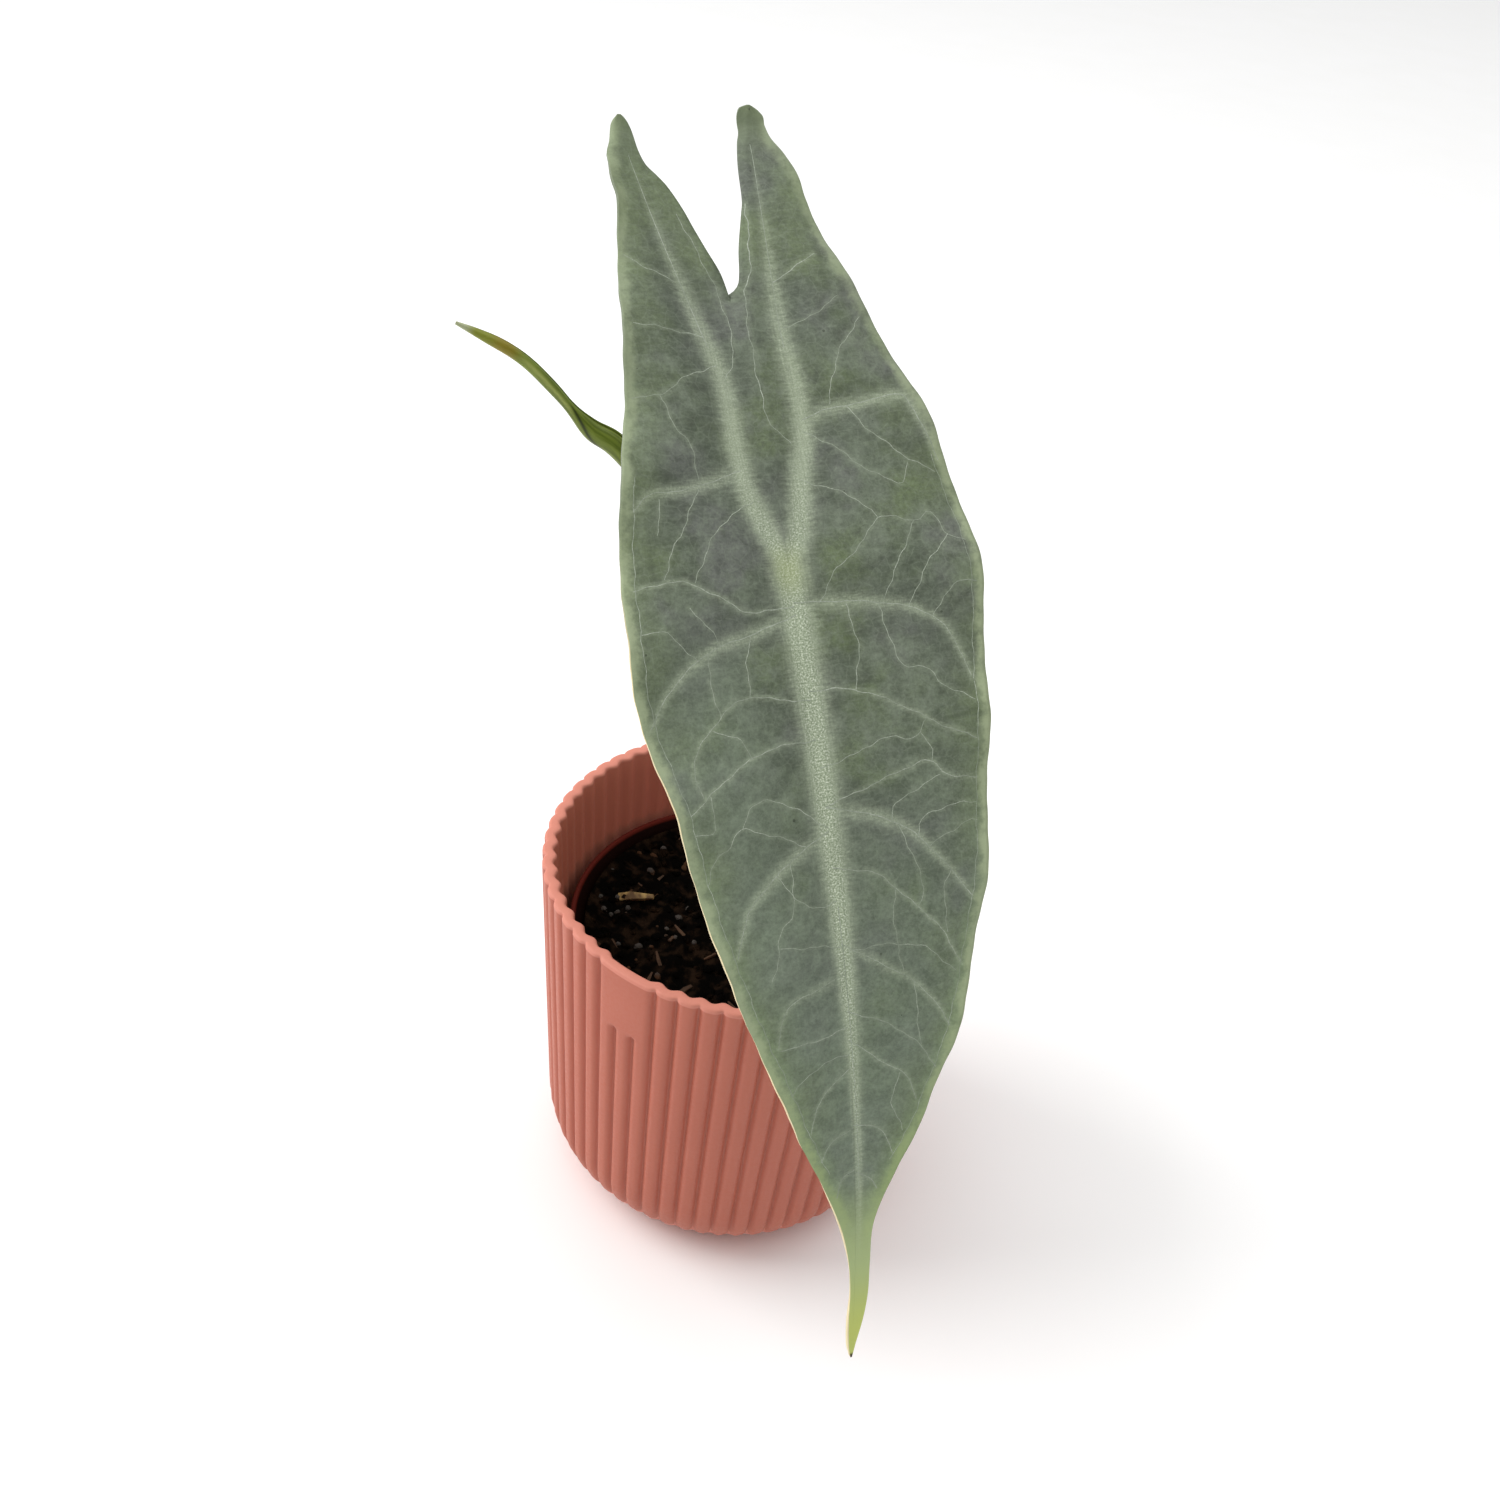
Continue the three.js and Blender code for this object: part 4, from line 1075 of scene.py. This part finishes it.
def start_sheet(name, columns, rows):
    """a flat grid, one unit square round the origin, and its points' places across and along"""
    sheet = add(
        bpy.ops.mesh.primitive_grid_add, name, x_subdivisions=columns, y_subdivisions=rows, size=1
    )
    return sheet, *points_of(sheet).T[:2]


def place_sheet(sheet, places, thickness, **values):
    """moves a sheet's points, and keeps their share of the full thickness and what its material reads"""
    sheet.data.vertices.foreach_set("co", places.ravel())
    group = sheet.vertex_groups.new(name="thickness")
    for k, share in enumerate(thickness):
        group.add([k], float(share), "REPLACE")
    for name, value in values.items():
        sheet.data.attributes.new(name, "FLOAT", "POINT").data.foreach_set("value", value)


def half_blade(side, name):
    """one half of the blade's upper face: a grid laid on the leaf's form"""
    lobe_end = MARGIN[side][0][0]
    lobe_rows = lobe_end + (SINUS - lobe_end) * np.linspace(0, 1, LOBE_ROWS + 1) ** 1.35
    stations = np.hstack([lobe_rows, np.linspace(SINUS, LEAF_TIP, BLADE_ROWS + 1)[1:]])
    rows, columns = len(stations) - 1, INNER_COLUMNS + OUTER_COLUMNS
    half, flat_across, flat_along = start_sheet(name, columns, rows)
    column = np.round((side * flat_across + 0.5) * columns)
    station = stations[np.round((flat_along + 0.5) * rows).astype(int)]
    width = value_at(MARGIN[side], station)
    rib_out = rib_at(side, station)
    share = np.clip(column / INNER_COLUMNS, 0, 1)
    spread = np.clip((column - INNER_COLUMNS) / OUTER_COLUMNS, 0, 1)
    spread = 1.25 * spread - 0.25 * spread**2
    sweep = (-4 + 16 * smooth_step(station, -30, 10)) * np.minimum(1, width / 24)
    fade = smooth_step(station, lobe_end, lobe_end + 12) * smooth_step(LEAF_TIP - station, 0, 30)
    far_station = station + sweep * fade
    inner = ragged(SINUS_EDGE[side], station) * (station < SINUS)
    out = np.where(spread > 0, rib_out + (ragged(MARGIN[side], far_station) - rib_out) * spread,
                   inner + (rib_out - inner) * share)
    along = station + (far_station - station) * (0.35 * spread + 0.65 * spread**3)
    across = side * out
    far_main = reach(spines + laterals, across, along)
    far_lateral = reach(laterals, across, along)
    far_edge = reach(edges[side], across, along)
    far_edge = np.where((spread >= 1) | ((share <= 0) & (station <= SINUS)), 0, far_edge)
    far_margin = np.where(spread >= 1, 0, reach(edges[side][:1], across, along))
    height = blade_height(side, out, along, far_main, far_edge)

    thickness = EDGE_THICKNESS + (BLADE_THICKNESS - EDGE_THICKNESS) * smooth_step(far_edge, 0, 4)
    slimmer = 1 - 0.88 * smooth_step(along, 5, LEAF_TIP)
    thickness += MIDRIB_HEIGHT * smooth_step(along, -12, 2) * slimmer * bell(out, 1.3)
    lobe_share = (1 - smooth_step(along, -4, 4)) * (0.2 + 0.8 * smooth_step(along, lobe_end, -10))
    thickness += LOBE_RIB_HEIGHT * lobe_share * bell(out - rib_out, 1)
    lateral_share = np.minimum(1, width / NARROW) * (1 - 0.85 * spread)
    thickness += LATERAL_HEIGHT * lateral_share * bell(far_lateral, 0.8)
    place_sheet(
        half, blade_place(across, along, height), thickness / THICKEST,
        main_mm=far_main, pale=pale_bands(across, along), edge_mm=far_edge, margin_mm=far_margin,
    )
    corners = np.empty(len(half.data.loops), int)
    half.data.loops.foreach_get("vertex_index", corners)
    sheet = np.stack([SHEET_NAVEL[0] + across / SHEET, SHEET_NAVEL[1] + along / SHEET], 1)
    half.data.uv_layers[0].name = "flat"
    half.data.uv_layers[0].data.foreach_set("uv", sheet[corners].ravel())
    return half


left_half = half_blade(-1, "left_half")
blade = half_blade(1, "silver_blade")
select_only(blade)
left_half.select_set(True)
bpy.ops.object.join()
open_editing()
close_editing()
if sum(face.normal.z for face in blade.data.polygons) < 0:
    blade.data.flip_normals()


def leaf_noise(tree, spot, scale, detail=4.0, roughness=0.6, shift=0.0, stretch=(1, 1, 1)):
    """a noise on the flat blade, its scale given in grains to the millimetre"""
    sockets = {"Vector": spot, "Location": (shift, shift, 0), "Scale": stretch}
    placed = wire(tree, "Mapping", sockets).outputs[0]
    sockets = {"Vector": placed, "Scale": scale, "Detail": detail, "Roughness": roughness}
    return wire(tree, "TexNoise", sockets).outputs[0]


def leaf_material(name, under):
    """satin leaf skin: silver panels, pale bands along the veins and a greener border"""
    material, tree, shader, _ = start_material(name, 0.55, 0.2)
    flat = wire(tree, "UVMap", uv_map="flat").outputs[0]
    spot = wire(tree, "VectorMath", {0: flat, 1: (SHEET, SHEET, 1)}, operation="MULTIPLY").outputs[0]
    across, along, _ = wire(tree, "SeparateXYZ", {0: spot}).outputs
    main, pale, edge, margin = (known(tree, what) for what in ("main_mm", "pale", "edge_mm", "margin_mm"))
    navel_across, navel_along = SHEET_NAVEL[0] * SHEET, SHEET_NAVEL[1] * SHEET

    def down(near, far, start=0.0, end=1.0):
        """goes from start to end between two places along the blade, told from the navel"""
        return ramp(tree, along, navel_along + near, navel_along + far, start, end)

    grain = leaf_noise(tree, spot, 1.6, 4, 0.75)
    fine_grain = leaf_noise(tree, spot, 3.7, 2)
    combed = leaf_noise(tree, spot, 1, 3, 0.6, 0, (0.4, 2.2, 1))
    strokes = leaf_noise(tree, spot, 1, 3, 0.6, 9, (3, 0.1, 1))
    cloud = leaf_noise(tree, spot, 0.07, 6, 0.62)
    hue = leaf_noise(tree, spot, 0.06, 4, 0.55, 31)
    patch = leaf_noise(tree, spot, 0.3, 4, 0.7, 57)
    mottle = leaf_noise(tree, spot, 0.45, 3, 0.6, 83)

    # the panels between the veins, with the faint net of the smallest ones and a few dark specks
    if under:
        panel = tint(tree, ramp(tree, cloud, 0.35, 0.65), linear(110, 127, 94), linear(130, 146, 112))
        vein, dull_vein = linear(150, 164, 124), linear(134, 148, 110)
        net_line, border = linear(136, 150, 112), linear(136, 152, 104)
    else:
        panel = tint(tree, ramp(tree, cloud, 0.38, 0.62), linear(84, 93, 77), linear(106, 116, 98))
        panel = touch_up(tree, panel, [
            (ramp(tree, hue, 0.5, 0.66, 0, 0.85), (101, 115, 80)),
            (ramp(tree, hue, 0.5, 0.36, 0, 0.85), (103, 106, 101)),
            (ramp(tree, patch, 0.45, 0.7, 0, 0.6), (118, 127, 111)),
            (ramp(tree, patch, 0.5, 0.32, 0, 0.55), (76, 82, 69)),
            # painted shade: the panels darken close to the main veins, standing in for the shade in the
            # valleys they lie in
            (ramp(tree, main, 7, 1.5, 0, 0.4), (80, 86, 77)),
        ])
        vein, dull_vein = linear(196, 207, 180), linear(140, 153, 126)
        net_line, border = linear(134, 144, 126), linear(166, 178, 142)
    # painted sheen: the left flank is painted lighter from the navel downwards, standing in for the light
    # it catches
    left_flank_painted_sheen = ramp(tree, across, navel_across - 4, navel_across - 14)
    panel = touch_up(tree, panel, [
        (down(10, 90, 0, 0.6), (124, 138, 119)),
        (times(tree, left_flank_painted_sheen, down(0, 25, 0, 0.45)), (124, 137, 117)),
        (times(tree, ramp(tree, edge, 9, 1.5), ramp(tree, hue, 0.35, 0.6, 0.05, 0.6)), (110, 123, 91)),
        (ramp(tree, margin, 4.2, 1, 0, down(25, 65, 0, 0.55)), (132, 150, 112)),
        (ramp(tree, combed, 0.4, 0.7, 0, 0.18), (122, 132, 116)),
    ])
    stray = wire(tree, "TexNoise", {"Vector": spot, "Scale": 0.5}).outputs[1]
    sockets = {"Vector": tint(tree, 0.6, spot, stray, "ADD"), "Scale": 0.45}
    net = wire(tree, "TexVoronoi", sockets, feature="DISTANCE_TO_EDGE").outputs["Distance"]
    colour = tint(tree, ramp(tree, net, 0.07, 0.0, 0, 0.16), panel, net_line)
    for noise, low, depth in ((grain, 0.3, 0.16), (mottle, 0.32, 0.12)):
        colour = tint(tree, 1, colour, ramp(tree, noise, low, 1 - low, 1 - depth, 1 + depth), "MULTIPLY")
    specks = wire(tree, "TexVoronoi", {"Vector": spot, "Scale": 0.42, "Randomness": 1})
    chosen = wire(tree, "SeparateColor", {0: specks.outputs["Color"]}).outputs[0]
    sockets = {0: specks.outputs["Distance"], 1: ramp(tree, chosen, 0.82, 1.0, 0.0, 0.1)}
    speck = wire(tree, "Math", sockets, operation="LESS_THAN").outputs[0]
    colour = tint(tree, times(tree, speck, 0.6), colour, linear(50, 54, 44))

    # the pale bands along the veins, which glitter most on the midrib
    fuzz = times(tree, ramp(tree, combed, 0.3, 0.7, 0.55, 1.25), ramp(tree, grain, 0.3, 0.7, 0.8, 1.2))
    band = times(tree, pale, ramp(tree, pale, 0.95, 0.2, 1.0, fuzz), use_clamp=True)
    sockets = {0: down(-2, -20), 1: ramp(tree, pale, 0.85, 0.55)}
    calm = wire(tree, "Math", sockets, operation="MAXIMUM").outputs[0]
    glitter = ramp(tree, fine_grain, 0.32, 0.68, times(tree, calm, 0.4), times(tree, calm, -0.15, 1))
    vein = tint(tree, glitter, dull_vein, vein)
    if not under:
        sparkle = ramp(tree, fine_grain, 0.54, 0.7, 0, times(tree, calm, -0.8, 1))
        vein = tint(tree, sparkle, vein, linear(230, 237, 218))
    drawn = tint(tree, 1, vein, ramp(tree, strokes, 0.35, 0.62, 0.88, 1.04), "MULTIPLY")
    colour = tint(tree, band, colour, drawn)

    # the frayed light border, then the yellow navel, the lobes' ends and the drip tip
    strength = times(tree, down(-50, 15, 0.48, 0.82), ramp(tree, patch, 0.32, 0.6, 0.6, 1.0))
    rim = times(tree, ramp(tree, times(tree, patch, -2.4, margin), 1.0, -0.8), strength)
    colour = tint(tree, rim, colour, tint(tree, down(60, 100), border, linear(152, 170, 116)))
    sockets = {0: spot, 1: (navel_across, navel_along, 0)}
    from_navel = wire(tree, "VectorMath", sockets, operation="DISTANCE").outputs["Value"]
    colour = touch_up(tree, colour, [
        (times(tree, band, ramp(tree, from_navel, 5.5, 0.5, 0, 0.42)), (160, 170, 112)),
        (down(-64, -76, 0, 0.6), (122, 136, 100)),
        (down(92, 112), (170, 186, 132)),
        (down(108, 124), (190, 200, 108)),
        (down(127.4, 128.2), (50, 36, 26)),
    ])
    paint(tree, shader, colour)
    tree.links.new(ramp(tree, grain, 0.3, 0.7, 0.5, 0.62), shader.inputs["Roughness"])
    roughen(tree, shader, grain, 0.05, 0.4)
    return material


# painted rim light: the cut edge of the blade is painted cream below the navel and green above it, standing
# in for light shining along and through its lower edge
leaf_edge_painted_rim_light, tree, shader, place = start_material("painted_rim_light_leaf_edge", 0.45, 0.4)
painted_rim_light_cream = tint(tree, speckle(tree, place, 0.4), linear(214, 198, 150), linear(236, 220, 178))
low = by_height(tree, place, NAVEL[2] + 8, NAVEL[2] - 12)
paint(tree, shader, tint(tree, low, linear(112, 122, 96), painted_rim_light_cream))
blade.data.materials.append(leaf_material("silver_leaf_face", False))
blade.data.materials.append(leaf_material("pale_leaf_back", True))
blade.data.materials.append(leaf_edge_painted_rim_light)
hand_over(
    blade, "SOLIDIFY", "sheet", thickness=THICKEST, offset=-1, vertex_group="thickness",
    material_offset=1, material_offset_rim=2, use_even_offset=False,
)
bpy.ops.object.shade_smooth()
finish_piece(blade, "silver_leaf", "big_leaf_blade")


# The blade's veins: pale cords grown into its upper face, the midrib and lobe ribs thickest, side veins
# thinner, and the finest linking them in a net that ends in a vein along the border.

VEIN_RISE = 0.05
BORDER_VEIN_INSET = 2
BORDER_VEIN_START = -15
BORDER_VEIN_END = 92


def vein_line(line, start, end):
    """a vein's places in the room and its radii, from its start to its end"""
    across, along = line.T
    side = np.where(across < 0, -1, 1)
    radius = start + (end - start) * np.linspace(0, 1, len(line))
    far_main = reach(spines + laterals, across, along)
    height = np.empty(len(line))
    for half in (-1, 1):
        here = side == half
        far_edge = reach(edges[half], across[here], along[here])
        height[here] = blade_height(half, abs(across[here]), along[here], far_main[here], far_edge)
    return blade_place(across, along, height - radius + VEIN_RISE * np.minimum(1, radius / 0.3)), radius


border_veins = []
for side in (-1, 1):
    stations = np.linspace(BORDER_VEIN_START, BORDER_VEIN_END, 50)
    across = side * (value_at(MARGIN[side], stations) - BORDER_VEIN_INSET)
    border_veins.append(wander(np.stack([across, stations], 1), 0.12, side))
# each cord's line, and its radius at the start and at the end
runs = [(line[len(line) // 2:], 0.2, 0.1) for line in (spines[0][:50], *spines[1:])]
runs += [(line, *((0.24, 0.15) if line[0][1] < 50 else (0.16, 0.12))) for line in laterals]
runs += [(line, 0.15, 0.11) for line in middle_veins]
runs += [(line, 0.12, 0.09) for line in fine_veins]
runs += [(line, 0.1, 0.1) for line in border_veins]
vein_curves = bpy.data.curves.new("leaf_veins", "CURVE")
vein_curves.dimensions = "3D"
vein_curves.bevel_depth = 1
vein_curves.bevel_resolution = 2
vein_curves.use_fill_caps = True
for line, start, end in runs:
    places, radii = vein_line(line, start, end)
    spline = draw_line(vein_curves, places)
    spline.points.foreach_set("radius", radii)
    spline.use_smooth = True
veins = bpy.data.objects.new("leaf_veins", vein_curves)
bpy.context.collection.objects.link(veins)
select_only(veins)
bpy.ops.object.convert(target="MESH")
veins = bpy.context.active_object

pale_vein, tree, shader, place = start_material("pale_leaf_vein", 0.46, 0.42)
mealy = ramp(tree, speckle(tree, place, 2.4), 0.35, 0.65)
pale = touch_up(tree, tint(tree, mealy, linear(146, 155, 138), linear(175, 184, 167)), [
    (ramp(tree, speckle(tree, place, 0.16, 3), 0.42, 0.6, 0, 0.55), (118, 128, 110)),
    (by_height(tree, place, 155, 115, 0, 0.35), (126, 138, 120)),
])
paint(tree, shader, pale)
roughen(tree, shader, speckle(tree, place, 3), 0.03, 0.5)
veins.data.materials.clear()
veins.data.materials.append(pale_vein)
finish_piece(veins, "silver_leaf")


# New leaf: its thin stalk grows from the same rootstock, inside the old stalk's sheath.
# Its blade is still rolled up lengthwise, one edge lapped over the other, and ends in a long point.

NEW_STALK_ROUTE = [(-4.6, 3.6, 66.5), (-5.2, 4.2, 80), (-6.2, 4.4, 95), (-8.6, 4.2, 110.5)]
NEW_BLADE_ROUTE = [
    (-8.6, 4.2, 109.8), (-12.6, 3, 128), (-18, 1, 146), (-25, -3, 162.5), (-33.7, -7, 175.4),
    (-39.1, -8.4, 179.4), (-45, -10, 186.1), (-49, -11, 190.2), (-52.5, -12, 192.8), (-56.8, -13, 195),
    (-60.1, -14, 196.6),
]
# the roll's width at places from its tip
NEW_BLADE_WIDTHS = [
    (0, 0.6), (3, 1.3), (6.5, 1.9), (11, 2), (19, 2), (22.5, 1.85), (25, 2.3), (27, 3), (29.5, 3.7),
    (33, 4.05), (37, 3.9), (42, 3.7), (58, 3.9), (80, 3.8), (96, 3.1), (106, 2.8),
]
NEW_BLADE_THICKNESS = 0.3
FULL_THICKNESS_RADIUS = 1.9
ROLL_TURNS = 1.55
ROLL_TWIST = 2.4
ROLL_STEP = 0.2
ROLL_COLUMNS = 90
ROLL_ROWS = 170
# a painted highlight stripe, and a painted shadow line where the lapped edge would shade the roll: the turn
# of the roll where each lies, its width in turns, and the places from the tip where it starts, is full,
# begins to fade and ends
PAINTED_HIGHLIGHT_TURN = 0.71
PAINTED_HIGHLIGHT_WIDTH = 0.06
PAINTED_HIGHLIGHT_RUN = (9, 14, 22, 25)
LAP_SHADOW_TURN = 0.8
LAP_SHADOW_SLANT = 0.029
LAP_SHADOW_WIDTH = 0.038
LAP_SHADOW_RUN = (22, 24, 31, 34)

line = smooth_line(NEW_STALK_ROUTE, STALK_STEP)
new_stalk = grow_stem("new_leaf_stem", 28, line, lambda share: 1.7 - 0.3 * min(1, 2 * share), 40)
bpy.ops.object.shade_smooth()
new_stalk.data.materials.append(stalk_green)
finish_piece(new_stalk, "stalk_green", "new_leaf_stalk")


def within(run, place):
    """1 along a run of places, fading in and out at its ends"""
    start, full, fading, end = run
    return smooth_step(place, start, full) * smooth_step(-place, -end, -fading)


line = smooth_line(NEW_BLADE_ROUTE, STALK_STEP)
length = line_length(line)
roll, flat_across, flat_along = start_sheet("rolled_blade", ROLL_COLUMNS, ROLL_ROWS)
share = flat_along + 0.5
from_tip = (1 - share) * length
wind = (flat_across + 0.5) * ROLL_TURNS
radius = 0.5 * value_at(NEW_BLADE_WIDTHS, from_tip) * (1.06 - ROLL_STEP * wind)
angle = 2 * math.pi * wind + ROLL_TWIST * share
# where the painted shadow line of the lap lies on each row
lap_turn = LAP_SHADOW_TURN - LAP_SHADOW_SLANT * (from_tip - 23)
place_sheet(
    roll, np.stack([radius * np.cos(angle), radius * np.sin(angle), share * length], 1),
    np.minimum(1, radius / FULL_THICKNESS_RADIUS), tip_mm=from_tip, turns=wind,
    stripe=bell(wind - PAINTED_HIGHLIGHT_TURN, PAINTED_HIGHLIGHT_WIDTH) * within(PAINTED_HIGHLIGHT_RUN, from_tip),
    lap=bell(wind - lap_turn, LAP_SHADOW_WIDTH) * within(LAP_SHADOW_RUN, from_tip),
)
hand_over(
    roll, "SOLIDIFY", "sheet", thickness=NEW_BLADE_THICKNESS, offset=-1, vertex_group="thickness",
    use_even_offset=False,
)
bend_along(roll, line)
bpy.ops.object.shade_smooth_by_angle(angle=math.radians(50))

new_green, tree, shader, place = start_material("olive_new_leaf", 0.42, 0.3)
tip_mm = known(tree, "tip_mm")
unrolled = wire(tree, "CombineXYZ", {0: known(tree, "turns"), 1: tip_mm}).outputs[0]
lines = leaf_noise(tree, unrolled, 1, 3, 0.6, 0, (16, 0.12, 1))
olive = tint(tree, ramp(tree, lines, 0.35, 0.65), linear(90, 104, 28), linear(122, 136, 52))
orange = ramp(tree, tip_mm, 12, 9, 0, ramp(tree, tip_mm, 5, 8, 0, 0.75))
olive = touch_up(tree, olive, [
    # a painted highlight stripe along the roll, then the painted shadow line of the lap
    (known(tree, "stripe"), (164, 172, 96)),
    (known(tree, "lap"), (48, 56, 16)),
    (ramp(tree, tip_mm, 12, 5, 0, 0.8), (132, 136, 42)),
    (orange, (142, 122, 34)),
    (ramp(tree, tip_mm, 3.4, 1.2), (168, 174, 136)),
    (by_height(tree, place, 132, 110, 0, 0.9), (116, 140, 80)),
])
paint(tree, shader, olive)
roughen(tree, shader, lines, 0.06, 0.6)
roll.data.materials.append(new_green)
finish_piece(roll, "new_leaf_green", "new_leaf_blade")
